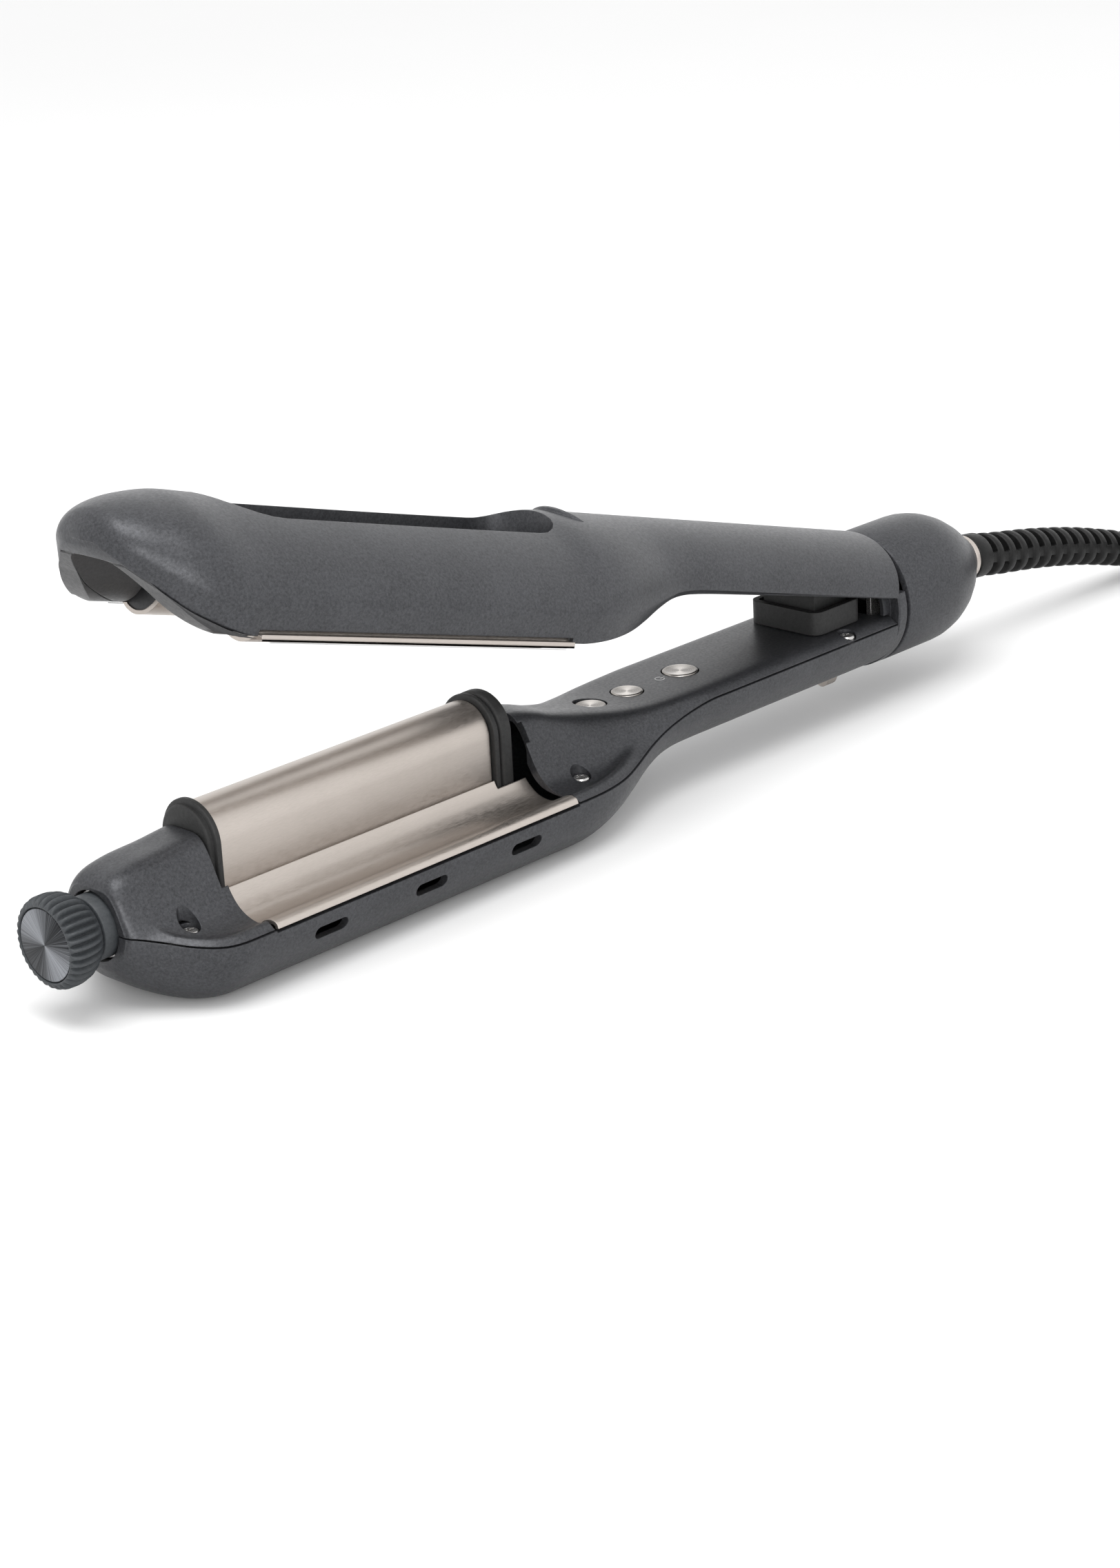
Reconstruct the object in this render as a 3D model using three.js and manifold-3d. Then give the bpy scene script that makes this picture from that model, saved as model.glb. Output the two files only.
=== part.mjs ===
// Hair crimper with a height-adjustable centre barrel, opened as its spring holds it.
// Millimetres, +Z up, +X from the tip to the cord, -Y the near side.
// While it is built, x = 0 is the face of the knob and z = 0 is the knob's axis.
// The last lines move the origin to the middle of the base.
import * as THREE from 'three'
import { mergeVertices } from 'three/addons/utils/BufferGeometryUtils.js'
import Module from 'manifold-3d'

const wasm = await Module()
wasm.setup()

// ---------- driving dimensions ----------
const GAP = 0.3 // running gap between neighbouring pieces
const WALL = 2.0 // wall of the moulded shells
const HALF_WIDTH = 27.1 // half the width of the plate section
const SEAM_Z = -4.0 // parting line beside the plates
const BASE_Z = -19.4 // flat underside of the plate section
const NOSE_X = 13.8 // front of the nose, where the knob's neck enters
const PLATE_X = [43, 139] // the lower wave plates
const HANDLE_R = 18.2 // radius of the closed handle
const HANDLE_Z = 8.07 // height of the handle's own axis
const HANDLE_HALF = 17.6 // half-width of the lower handle at its seam
const DECK_Z = 5.9 // flat deck that holds the buttons
const HINGE = { x: 274.7, z: 12.8 } // hinge pin of the upper arm
const OPEN_ANGLE = 15.8 // degrees between the arms at rest
const ARM_REAR_X = 274.4 // rear end of the upper arm
const COLLAR_X = [274.9, 278.3]
const CAP_X = [279.5, 324.5]
const CAP_Z = 6.95 // the cap and collar sit a little lower than the handle's own axis
const CAP_R = 18.1
const BARREL = { x: [44.3, 129.7], half: 7.95, centre: 11.5, bottom: -4, wall: 1.4 }
const FLANGE = { half: 9.2, tip: [41, 44], rear: [130, 136] }
const LIFT_TRAVEL = 8 // the barrel drops this far
const CHANNEL_HALF = 10.6 // space for the barrel in the upper arm
const SLOT = { half: 12.2, x: [40, 148] } // window in the upper arm's crown
const BUTTONS = [
  { name: 'button_down', x: 172.8, r: 4.12 },
  { name: 'button_up', x: 186.5, r: 4.12 },
  { name: 'button_power', x: 206.7, r: 4.67 },
]
const BUTTON_TOP = 6.25
const BOARD = { x: [166, 240], half: 11.3, z: [-2.6, -1.0] }
const CORD = { r: 3.0 }
const COIL = { centre: [476.5, -23], middle: 34, pitch: 6.1, columns: 3, layers: 3 }
const FLOOR_Z = BASE_Z

// ---------- materials ----------
const paint = (color, roughness, metalness) => new THREE.MeshStandardMaterial({ color, roughness, metalness })
const graphite = paint(0x565a5e, 0.45, 0.5)
const champagne = paint(0xbdb2aa, 0.3, 0.9)
const rubber = paint(0x33363a, 0.8, 0)
const steel = paint(0xa9a39d, 0.3, 1)
const black = paint(0x1f2124, 0.6, 0)
const board = paint(0x2c5a3a, 0.6, 0)
const mica = paint(0x9a8f7e, 0.8, 0)

// ---------- geometry helpers ----------
// A smooth curve through [x, value] keys, flat beyond its ends.
function track(keys) {
  const slope = keys.map(([x, v], i) => {
    const a = keys[Math.max(i - 1, 0)]
    const b = keys[Math.min(i + 1, keys.length - 1)]
    const rising = (v - a[1]) * (b[1] - v)
    return rising > 0 ? (b[1] - a[1]) / (b[0] - a[0]) : 0
  })
  return (x) => {
    if (x <= keys[0][0]) return keys[0][1]
    if (x >= keys.at(-1)[0]) return keys.at(-1)[1]
    const i = keys.findIndex((k) => k[0] > x) - 1
    const span = keys[i + 1][0] - keys[i][0]
    const t = (x - keys[i][0]) / span
    const rise = keys[i + 1][1] - keys[i][1]
    const ease = t * t * (3 - 2 * t)
    const bend = t * (1 - t) * ((1 - t) * slope[i] - t * slope[i + 1]) * span
    return keys[i][1] + rise * ease + bend
  }
}

function flipIfInsideOut(geometry) {
  const p = geometry.attributes.position
  const index = geometry.index.array
  const [a, b, c] = [new THREE.Vector3(), new THREE.Vector3(), new THREE.Vector3()]
  let volume = 0
  for (let i = 0; i < index.length; i += 3) {
    a.fromBufferAttribute(p, index[i])
    b.fromBufferAttribute(p, index[i + 1])
    c.fromBufferAttribute(p, index[i + 2])
    volume += a.dot(b.cross(c))
  }
  if (volume < 0) index.reverse()
  return geometry
}

// A closed body through one ring of [y, z] points at each x.
function loft(stations, ringAt) {
  const rings = stations.map(ringAt)
  const size = rings[0].length
  const points = rings.flatMap((ring, i) => ring.flatMap(([y, z]) => [stations[i], y, z]))
  const index = []
  for (let i = 0; i + 1 < rings.length; i++) {
    for (let j = 0; j < size; j++) {
      const [a, b] = [i * size + j, i * size + (j + 1) % size]
      index.push(a, b, a + size, b, b + size, a + size)
    }
  }
  const last = (rings.length - 1) * size
  const flat = (ring) => ring.map(([y, z]) => new THREE.Vector2(y, z))
  for (const [a, b, c] of THREE.ShapeUtils.triangulateShape(flat(rings[0]), [])) index.push(a, c, b)
  for (const [a, b, c] of THREE.ShapeUtils.triangulateShape(flat(rings.at(-1)), [])) {
    index.push(last + a, last + b, last + c)
  }
  const geometry = new THREE.BufferGeometry()
  geometry.setAttribute('position', new THREE.Float32BufferAttribute(points, 3))
  geometry.setIndex(index)
  return flipIfInsideOut(geometry)
}

const shapeOf = (points) => new THREE.Shape(points.map(([u, v]) => new THREE.Vector2(u, v)))
const extrude = (points, depth) => new THREE.ExtrudeGeometry(shapeOf(points), {
  depth,
  bevelEnabled: false,
  curveSegments: 8,
})
const alongX = new THREE.Matrix4().makeBasis(
  new THREE.Vector3(0, 1, 0), new THREE.Vector3(0, 0, 1), new THREE.Vector3(1, 0, 0))
const alongY = new THREE.Matrix4().makeBasis(
  new THREE.Vector3(1, 0, 0), new THREE.Vector3(0, 0, 1), new THREE.Vector3(0, -1, 0))
const extrudeX = (points, x0, x1) => extrude(points, x1 - x0).applyMatrix4(alongX).translate(x0, 0, 0)
const extrudeY = (points, y0, y1) => extrude(points, y1 - y0).applyMatrix4(alongY).translate(0, y1, 0)
const extrudeZ = (points, z0, z1) => extrude(points, z1 - z0).translate(0, 0, z0)
const box = (x0, x1, y0, y1, z0, z1) => new THREE.BoxGeometry(x1 - x0, y1 - y0, z1 - z0)
  .translate((x0 + x1) / 2, (y0 + y1) / 2, (z0 + z1) / 2)
const rod = (r, length, sides = 24) => new THREE.CylinderGeometry(r, r, length, sides)
const rodX = (r, x0, x1, y, z, sides) => rod(r, x1 - x0, sides).rotateZ(Math.PI / 2)
  .translate((x0 + x1) / 2, y, z)
const rodY = (r, y0, y1, x, z, sides) => rod(r, y1 - y0, sides).translate(x, (y0 + y1) / 2, z)
const rodZ = (r, z0, z1, x, y, sides) => rod(r, z1 - z0, sides).rotateX(Math.PI / 2)
  .translate(x, y, (z0 + z1) / 2)
// A turned body about an axis along X at height z, from [x, radius] points.
const turnedX = (points, z, sides) => new THREE.LatheGeometry(
  points.map(([x, r]) => new THREE.Vector2(r, x)), sides).rotateZ(-Math.PI / 2).translate(0, 0, z)

function solid(geometry) {
  const bare = new THREE.BufferGeometry()
  bare.setAttribute('position', geometry.attributes.position)
  bare.setIndex(geometry.index)
  const merged = flipIfInsideOut(mergeVertices(bare, 1e-4))
  return new wasm.Manifold(new wasm.Mesh({
    numProp: 3,
    vertProperties: merged.attributes.position.array,
    triVerts: Uint32Array.from(merged.index.array),
  }))
}
const join = (...geometries) => geometries.map((g) => solid(g)).reduce((a, b) => a.add(b))
const cutBy = (body, ...geometries) => geometries.reduce((a, g) => a.subtract(solid(g)), body)

function geometryOf(body) {
  const { vertProperties, triVerts } = body.getMesh()
  const geometry = new THREE.BufferGeometry()
  geometry.setAttribute('position', new THREE.BufferAttribute(vertProperties, 3))
  geometry.setIndex(new THREE.BufferAttribute(triVerts, 1))
  return geometry
}

const group = new THREE.Group()
const lower = new THREE.Group()
const upper = new THREE.Group()
function add(parent, name, body, material) {
  const geometry = body.isBufferGeometry ? body : geometryOf(body)
  const mesh = new THREE.Mesh(geometry, material)
  mesh.name = name
  parent.add(mesh)
  return mesh
}

// ---------- outline of the lower arm ----------
const lowerHalf = track([[13.8, 10.4], [14.4, 11.8], [17, 14.3], [20, 17.4], [24, 21.9], [28, 25.2],
  [33, 26.9], [38, HALF_WIDTH], [143, HALF_WIDTH], [150, 26.6], [158, 25], [166, 22.4], [174, 19.8],
  [182, 18.2], [192, HANDLE_HALF]])
const lowerBottom = track([[13.8, -8.6], [14.6, -10.4], [18, -14.2], [23.5, -17.4], [30, -19.1],
  [36, BASE_Z], [145, BASE_Z], [151, -19.1], [158.6, -17.8], [166, -15.8], [174, -13.2],
  [183, -11], [194, HANDLE_Z - HANDLE_R]])
const lowerTop = track([[13.8, 8.9], [14.4, 10], [15.5, 11], [17.5, 11.9], [20, 12.5], [24, 13.1],
  [32, 13.6], [40, 14.4], [43, 14.5], [138, 14.2], [143, 13.8], [148, 12.6], [154, 10.6], [162, 8.6],
  [170, 7.1], [178, 6.2], [188, DECK_Z]])
const seam = track([[13.8, -0.5], [18, -1.4], [24, -3.1], [32, SEAM_Z], [150, SEAM_Z],
  [163, -3.2], [184, 1.4], [197, 3.5], [206, 3.7]])
const archHalf = track([[13.8, 11], [143, 11], [150, 11.6], [160, 14], [172, 16.2], [186, 16.8]])
const archPower = track([[143, 5], [160, 4.5], [172, 7], [190, 14]])
const bottomCorner = track([[13.8, 10.4], [20, 13], [34, 14], [143, 14], [166, 16], [186, HANDLE_HALF]])
const rimHeight = track([[17, 0], [24, 1.2], [34, 1.5], [146, 1.5], [160, 1.3], [176, 0]])
const ACROSS = [1, 0.975, 0.93, 0.88, 0.82, 0.74, 0.64, 0.55, 0.48, 0.42, 0.36, 0.28, 0.15]
const bell = (y, half, power) => 1 / (1 + (Math.abs(y) / half) ** power)

function coverHeight(x, y, inset = 0) {
  const half = lowerHalf(x) - inset
  const [base, power] = [seam(x), archPower(x)]
  const edge = bell(half, archHalf(x) - inset, power)
  const rise = (bell(y, archHalf(x) - inset, power) - edge) / (1 - edge)
  const rim = inset ? 0 : rimHeight(x) * Math.exp(-(((half - 2.7 - Math.abs(y)) / 1.9) ** 2))
  const close = Math.sqrt(Math.max(0, 1 - (Math.abs(y) / half) ** 30))
  return base + (lowerTop(x) - inset - base) * rise + rim * close
}

function lowerRing(x, inset, steps) {
  const half = lowerHalf(x) - inset
  const corner = Math.min(bottomCorner(x) - inset, half)
  const [bottom, base] = [lowerBottom(x) + inset, seam(x)]
  const right = [[(half - corner) / 2, bottom]]
  for (let i = 0; i < steps; i++) {
    const a = (Math.PI / 2) * (i / steps)
    right.push([half - corner + corner * Math.sin(a), base - (base - bottom) * Math.cos(a)])
  }
  for (const s of ACROSS) right.push([half * s, coverHeight(x, half * s, inset)])
  const left = right.map(([y, z]) => [-y, z]).reverse()
  return [...right, ...left]
}
const NOSE_STATIONS = [13.8, 14.4, 15.6, 17.5, 20, 23, 26, 29, 33, 38, 42.5]
const TAIL_STATIONS = [139.5, 143, 147, 151, 156, 161, 166, 171, 176, 182, 188, 194, 206, 274.6]
const LOWER_STATIONS = [...NOSE_STATIONS, ...TAIL_STATIONS]
const lowerOuter = solid(loft(LOWER_STATIONS, (x) => lowerRing(x, 0, 7)))
const INNER_STATIONS = [16.5, 20, 24, 29, 36, 143, 151, 160, 170, 182, 196, 276]
const lowerInner = solid(loft(INNER_STATIONS, (x) => lowerRing(x, WALL, 5)))

// Everything under (or over) the parting surface, with half the gap taken off.
function seamSide(below) {
  const keys = [0, 13.8, 18, 24, 32, 150, 163, 173, 184, 197, 206, 300]
  const edge = keys.map((x) => [x, seam(x) + (below ? -0.1 : 0.1)])
  const far = below ? -60 : 60
  return solid(extrudeY([[0, far], ...edge, [300, far]], -60, 60))
}

// ---------- plates ----------
const TROUGH = [[8.7, 0.9], [9.5, -0.6], [11.3, -2.6], [14, -4.4], [17.5, -5], [20.5, -4.2],
  [22.6, -2.8], [24.9, -2.2], [26.5, -2.7], [27, -3.8]]
const PLATE_THICKNESS = 1.0
const mirrorY = (points) => points.map(([y, z]) => [-y, z])
// The line that runs a distance below a [y, z] line. Its first point is straight down.
function lineBelow(points, distance) {
  return points.map(([y, z], i) => {
    if (i === 0) return [y, z - distance * 1.4]
    const a = points[i - 1]
    const b = points[Math.min(i + 1, points.length - 1)]
    const length = Math.hypot(b[0] - a[0], b[1] - a[1])
    return [y + (b[1] - a[1]) / length * distance, z - (b[0] - a[0]) / length * distance]
  })
}
const strip = (points, thickness) => [...points, ...lineBelow(points, thickness).reverse()]
const flangeRoom = (z0, z1) => [
  box(PLATE_X[0] - 1, FLANGE.tip[1] + 0.6, -FLANGE.half - 0.5, FLANGE.half + 0.5, z0, z1),
  box(FLANGE.rear[0] - 0.6, PLATE_X[1] + 1, -FLANGE.half - 0.5, FLANGE.half + 0.5, z0, z1),
]
for (const [side, turn] of [['near', mirrorY], ['far', (p) => p]]) {
  const profile = strip(TROUGH, PLATE_THICKNESS)
  const plate = cutBy(solid(extrudeX(turn(profile), ...PLATE_X)), ...flangeRoom(-20, 20))
  add(lower, `trough_plate_${side}`, plate, champagne)
  const heater = turn([[13.2, -8.2], [21, -8.2], [21, -6.7], [13.2, -6.7]])
  add(lower, `trough_heater_${side}`, extrudeX(heater, 58, 124), mica)
}

// ---------- lower arm: shell and covers ----------
function stadium(x, z, length, height) {
  const [r, reach] = [height / 2, (length - height) / 2]
  const end = (side) => Array.from({ length: 7 }, (_, i) => {
    const a = i * Math.PI / 6
    return [x + side * (reach + r * Math.sin(a)), z - side * r * Math.cos(a)]
  })
  return [...end(1), ...end(-1)]
}
const VENT_X = [59, 90.3, 121.6]
const VENT_Z = -9.1
const vents = VENT_X.map((x) => extrudeY(stadium(x, VENT_Z, 10, 3), -40, 40))
const neckBore = rodX(8.2, 10, 21, 0, 0, 32)
const PLATE_SEAT_Z = SEAM_Z - 0.65
const plateBay = box(PLATE_X[0] - 0.5, PLATE_X[1] + 0.5, -40, 40, PLATE_SEAT_Z, 30)
const plateSeat = box(PLATE_X[0] - 0.5, PLATE_X[1] + 0.5, -25.4, 25.4, -7, 0)
const LOCK = { x: 265.2, half: 1.9, travel: 4 }
const lockSlot = box(LOCK.x - 2, LOCK.x + 2 + LOCK.travel, -1.6, 1.6, -14, 0)
const skin = lowerOuter.subtract(lowerInner)
const DRIVER = 2.5 // radius of the screw counterbores
const SCREWS = [
  { name: 'tip_screw', x: 28.4, y: 14.4, top: -3.2, length: 7 },
  { name: 'middle_screw', x: 150.6, y: 17, top: -3.4, length: 7 },
  { name: 'hinge_screw', x: 256.5, y: 14.5, top: 5.1, length: 3.8 },
]
const bothSides = SCREWS.flatMap((s) => [
  { ...s, name: `${s.name}_near`, y: -s.y },
  { ...s, name: `${s.name}_far` },
])
const counterbores = bothSides.map((s) => rodZ(DRIVER, s.top - 1.7, s.top + 8, s.x, s.y, 16))
const shanks = bothSides.map((s) => rodZ(1.5, s.top - s.length - 0.4, s.top, s.x, s.y, 12))
const bosses = bothSides.map((s) => rodZ(DRIVER + 1.2, s.top - 3.4, s.top + 1, s.x, s.y, 12))
const underSkin = solid(loft(LOWER_STATIONS, (x) => lowerRing(x, 0.6, 5)))
const covers = skin.add(join(...bosses).intersect(underSkin)).intersect(seamSide(false))
const screwRoom = (from, to) => [...counterbores.slice(from, to), ...shanks.slice(from, to)]
add(lower, 'lower_shell', cutBy(skin.intersect(seamSide(true)), ...vents, neckBore, plateBay, plateSeat,
  lockSlot, shanks[4], shanks[5]), graphite)
const tipRoom = box(0, 42.2, -40, 40, -40, 40)
const tipFlangeRoom = box(40.4, 50, -12, 12, -3, 40)
const tipFlangeWell = box(40.4, 50, -FLANGE.half - 0.6, FLANGE.half + 0.6, -40, 0)
const tipCover = covers.intersect(solid(tipRoom))
add(lower, 'lower_tip_cover', cutBy(tipCover, ...screwRoom(0, 2), neckBore, tipFlangeRoom, tipFlangeWell),
  graphite)

const SHROUD = { x: [247.7, 267], half: 11.6, top: 12.4, wall: 1.6, corner: 3 }
function roundedRect(x0, x1, half, corner) {
  const points = []
  const corners = [[x1 - corner, half - corner, 0], [x0 + corner, half - corner, 1],
    [x0 + corner, corner - half, 2], [x1 - corner, corner - half, 3]]
  for (const [cx, cy, quarter] of corners) {
    for (let i = 0; i <= 4; i++) {
      const a = (quarter + i / 4) * Math.PI / 2
      points.push([cx + corner * Math.cos(a), cy + corner * Math.sin(a)])
    }
  }
  return points
}
const shroudOuter = roundedRect(...SHROUD.x, SHROUD.half, SHROUD.corner)
const shroudInner = roundedRect(SHROUD.x[0] + SHROUD.wall, SHROUD.x[1] - SHROUD.wall,
  SHROUD.half - SHROUD.wall, SHROUD.corner - SHROUD.wall)
const shroudHole = roundedRect(SHROUD.x[0] + 1, SHROUD.x[1] - 1, SHROUD.half - 1, SHROUD.corner - 1)
const buttonHoles = BUTTONS.map((b) => rodZ(b.r + GAP, 0, 12, b.x, 0, 24))
const collarRoomX = COLLAR_X[0] - 3.3
const deckRoom = box(139.8, 290, -40, 40, -40, 40)
const rearFlangeRoom = box(138, 141.2, -FLANGE.half - 0.5, FLANGE.half + 0.5, -30, 12.2)
const deck = cutBy(covers.intersect(solid(deckRoom)), ...screwRoom(2, 6), ...buttonHoles,
  extrudeZ(shroudHole, 0, 20), rearFlangeRoom, box(collarRoomX, 280, -11.2, 11.2, 0, 20))
add(lower, 'lower_deck_cover', deck, graphite)
for (const s of bothSides) {
  const head = join(rodZ(2.1, s.top - 1.4, s.top, s.x, s.y, 12),
    rodZ(1.1, s.top - s.length, s.top - 1, s.x, s.y, 8))
  const slots = [box(s.x - 1.2, s.x + 1.2, s.y - 0.25, s.y + 0.25, s.top - 0.6, s.top + 1),
    box(s.x - 0.25, s.x + 0.25, s.y - 1.2, s.y + 1.2, s.top - 0.6, s.top + 1)]
  add(lower, s.name, cutBy(head, ...slots), steel)
}

// ---------- barrel, its flanges and what carries it ----------
function barrelProfile(half, centre, bottom, steps) {
  const points = [[-half, bottom], [half, bottom]]
  for (let i = 0; i <= steps; i++) {
    const a = Math.PI * i / steps
    points.push([half * Math.cos(a), centre + half * Math.sin(a)])
  }
  return points
}
const lift = new THREE.Group()
const barrelOuter = barrelProfile(BARREL.half, BARREL.centre, BARREL.bottom, 20)
const barrelInner = barrelProfile(BARREL.half - BARREL.wall, BARREL.centre, BARREL.bottom - 1, 12)
const barrel = cutBy(solid(extrudeX(barrelOuter, ...BARREL.x)), extrudeX(barrelInner, 0, 200))
add(lift, 'barrel', barrel, champagne)

function flange(name, x0, x1, groove) {
  const centre = BARREL.centre
  const outline = (half) => barrelProfile(half, centre, BARREL.bottom - 1, 20)
  const [from, to] = groove
  const body = join(extrudeX(outline(FLANGE.half), x0, from), extrudeX(outline(FLANGE.half), to, x1),
    extrudeX(outline(FLANGE.half - 1), x0 + 0.2, x1 - 0.2))
  add(lift, name, body, rubber)
}
flange('barrel_flange_tip', ...FLANGE.tip, [FLANGE.tip[1] - 2.6, FLANGE.tip[1] - 1.6])
flange('barrel_flange_rear', ...FLANGE.rear, [FLANGE.rear[0] + 1.4, FLANGE.rear[0] + 2.2])

const RAMP = { x: [56, 108], rise: LIFT_TRAVEL + 3, z: -14.9, half: 4 }
const CARRIER_Z = [4.5, 6]
const innerHalf = BARREL.half - BARREL.wall - GAP
const carrierPlate = box(BARREL.x[0] + 1, BARREL.x[1] - 1, -innerHalf, innerHalf, ...CARRIER_Z)
const feet = RAMP.x.map((x) => {
  const [a, b] = [x + LIFT_TRAVEL, x + RAMP.rise]
  const slope = RAMP.z + 0.42
  return extrudeY([[a, slope + a - x], [b, slope + b - x], [b, 5], [a, 5]], -RAMP.half, RAMP.half)
})
add(lift, 'barrel_carrier', join(carrierPlate, ...feet), black)
add(lift, 'barrel_heater', box(50, 124, -5, 5, 6.4, 9), mica)
lower.add(lift)

const SLIDER = { nut: [25, 31], plate: [30, 124], half: 5, z: [-16.9, -14.9], bore: 3.4 }
const ramps = RAMP.x.map((x) => extrudeY(
  [[x, RAMP.z - 0.5], [x + RAMP.rise, RAMP.z - 0.5], [x + RAMP.rise, RAMP.z + RAMP.rise], [x, RAMP.z]],
  -RAMP.half, RAMP.half))
const slider = join(box(...SLIDER.plate, -SLIDER.half, SLIDER.half, ...SLIDER.z),
  box(...SLIDER.nut, -SLIDER.half, SLIDER.half, SLIDER.z[0] + 1.6, 4.5), ...ramps)
add(lower, 'lift_slider', cutBy(slider, rodX(SLIDER.bore, 10, 40, 0, 0, 20)), black)

// ---------- knob ----------
const KNOB = { length: 10.5, r: 10.7, face: 8.7, flutes: 20, depth: 1 }
const neck = turnedX([[KNOB.length + GAP, 0], [KNOB.length + GAP, 7.5], [15.2, 7.5], [15.2, 3], [35, 3],
  [35, 0]], 0, 28)
add(lower, 'knob_shaft', neck, rubber)
const crown = solid(turnedX([[0.9, 0], [0.9, KNOB.face + 0.1], [0, KNOB.face + 0.4], [0.1, KNOB.r - 1],
  [1.2, KNOB.r], [KNOB.length - 2.6, KNOB.r], [KNOB.length - 0.4, KNOB.r - 1.6], [KNOB.length, KNOB.r - 3.2],
  [KNOB.length, 0]], 0, 30))
const flutes = Array.from({ length: KNOB.flutes }, (_, i) => {
  const a = 2 * Math.PI * i / KNOB.flutes
  const r = KNOB.r + 0.2
  return rodX(KNOB.depth, 1.6, KNOB.length - 2.2, r * Math.cos(a), r * Math.sin(a), 5)
})
add(lower, 'knob', cutBy(crown, ...flutes), rubber)
add(lower, 'knob_disc', rodX(KNOB.face - GAP, 0.05, 0.6, 0, 0, 36), paint(0x565c62, 0.3, 0.8))
const bush = cutBy(solid(rodX(7.9, 15.6, 20.5, 0, 0, 24)), rodX(3.3, 10, 30, 0, 0, 20))
add(lower, 'knob_bush', bush, steel)

// ---------- buttons and the circuit board ----------
for (const b of BUTTONS) {
  const key = join(rodZ(b.r, 3, BUTTON_TOP, b.x, 0, 28), rodZ(b.r + 1.1, 2.2, 3.2, b.x, 0, 16))
  add(lower, b.name, key, steel)
  add(lower, b.name.replace('button', 'switch'),
    join(box(b.x - 3, b.x + 3, -3, 3, BOARD.z[1] + GAP, 0.6), rodZ(1.5, 0.4, 1.2, b.x, 0, 10)), black)
}
add(lower, 'circuit_board', box(...BOARD.x, -BOARD.half, BOARD.half, ...BOARD.z), board)

// ---------- hinge ----------
const shroud = cutBy(solid(extrudeZ(shroudOuter, DECK_Z + GAP, SHROUD.top)), extrudeZ(shroudInner, 0, 20))
add(lower, 'hinge_shroud', shroud, rubber)
const SPIGOT = { r: 14.9, bore: 13.7, shoulder: 12 }
const [collarFrom, collarTo] = COLLAR_X
const collar = join(
  rodX(SPIGOT.r, collarFrom - 3, collarTo, 0, CAP_Z, 36),
  rodX(CAP_R - 0.1, collarFrom, collarTo, 0, CAP_Z, 36))
const crownRoom = box(collarFrom - 1, collarTo + 1, -30, 30, SPIGOT.shoulder, 40)
const spigotTop = rodX(SPIGOT.r, collarFrom - 3, collarTo, 0, CAP_Z, 36)
const shoulder = collar.subtract(solid(crownRoom).subtract(solid(spigotTop)))
const deckEndRoom = box(collarFrom - 4, collarFrom - 0.15, -20, 20, -20, DECK_Z + 0.4)
add(lower, 'hinge_collar', cutBy(shoulder, rodX(SPIGOT.bore, 200, 300, 0, CAP_Z, 36), deckEndRoom), graphite)
const PIN = { r: 2, half: 10.9 }
add(lower, 'hinge_pin', rodY(PIN.r, -PIN.half, PIN.half, HINGE.x, HINGE.z, 20), steel)
const EAR = { y: [8.9, 10.4], r: 2.8, x: 2.6, foot: -1.4 }
const ears = [-1, 1].map((side) => {
  const [y0, y1] = side > 0 ? EAR.y : [-EAR.y[1], -EAR.y[0]]
  return join(rodY(EAR.r, y0, y1, HINGE.x, HINGE.z, 18),
    box(HINGE.x - EAR.x, HINGE.x + EAR.x, y0, y1, EAR.foot, HINGE.z))
})
const foot = box(HINGE.x - EAR.x, HINGE.x + EAR.x, -EAR.y[1], EAR.y[1], EAR.foot, EAR.foot + 1.6)
const bracket = ears[0].add(ears[1]).add(solid(foot))
add(lower, 'hinge_bracket', cutBy(bracket, rodY(PIN.r + 0.05, -20, 20, HINGE.x, HINGE.z, 18)), steel)

class Helix extends THREE.Curve {
  constructor(r, half, turns) {
    super()
    Object.assign(this, { r, half, turns })
  }

  getPoint(t) {
    const a = 2 * Math.PI * this.turns * t
    const [dx, dz] = [this.r * Math.cos(a), this.r * Math.sin(a)]
    return new THREE.Vector3(HINGE.x + dx, this.half * (2 * t - 1), HINGE.z + dz)
  }
}
function tube(curve, r, steps, sides) {
  const circle = Array.from({ length: sides }, (_, i) => {
    const a = 2 * Math.PI * i / sides
    return new THREE.Vector2(r * Math.cos(a), r * Math.sin(a))
  })
  const along = { steps, bevelEnabled: false, extrudePath: curve }
  return new THREE.ExtrudeGeometry(new THREE.Shape(circle), along)
}
add(lower, 'torsion_spring', tube(new Helix(3.4, 4, 4.5), 0.6, 44, 5), steel)

// ---------- cap, ring, strain relief ----------
const capOutline = [[CAP_X[0], CAP_R], [300, CAP_R], [305, 17.5], [309.5, 16.1], [313.5, 14.1],
  [317.5, 11.6], [321, 9], [CAP_X[1], 6.7]]
const capInner = [0, 1, 4, 6].map((i) => [capOutline[i][0], capOutline[i][1] - WALL])
const cableHole = 4.2
add(lower, 'tail_cap', turnedX([...capOutline, [CAP_X[1], cableHole], [CAP_X[1] - 3, cableHole],
  ...capInner.reverse(), capOutline[0]], CAP_Z, 32), graphite)
const ringX = CAP_X[1] + GAP
add(lower, 'cable_ring', turnedX([[ringX, cableHole], [ringX, 6.5], [ringX + 1.8, 6.3], [ringX + 2.2, 5.9],
  [ringX + 2.2, cableHole], [ringX, cableHole]], CAP_Z - 0.2, 20), champagne)

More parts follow.
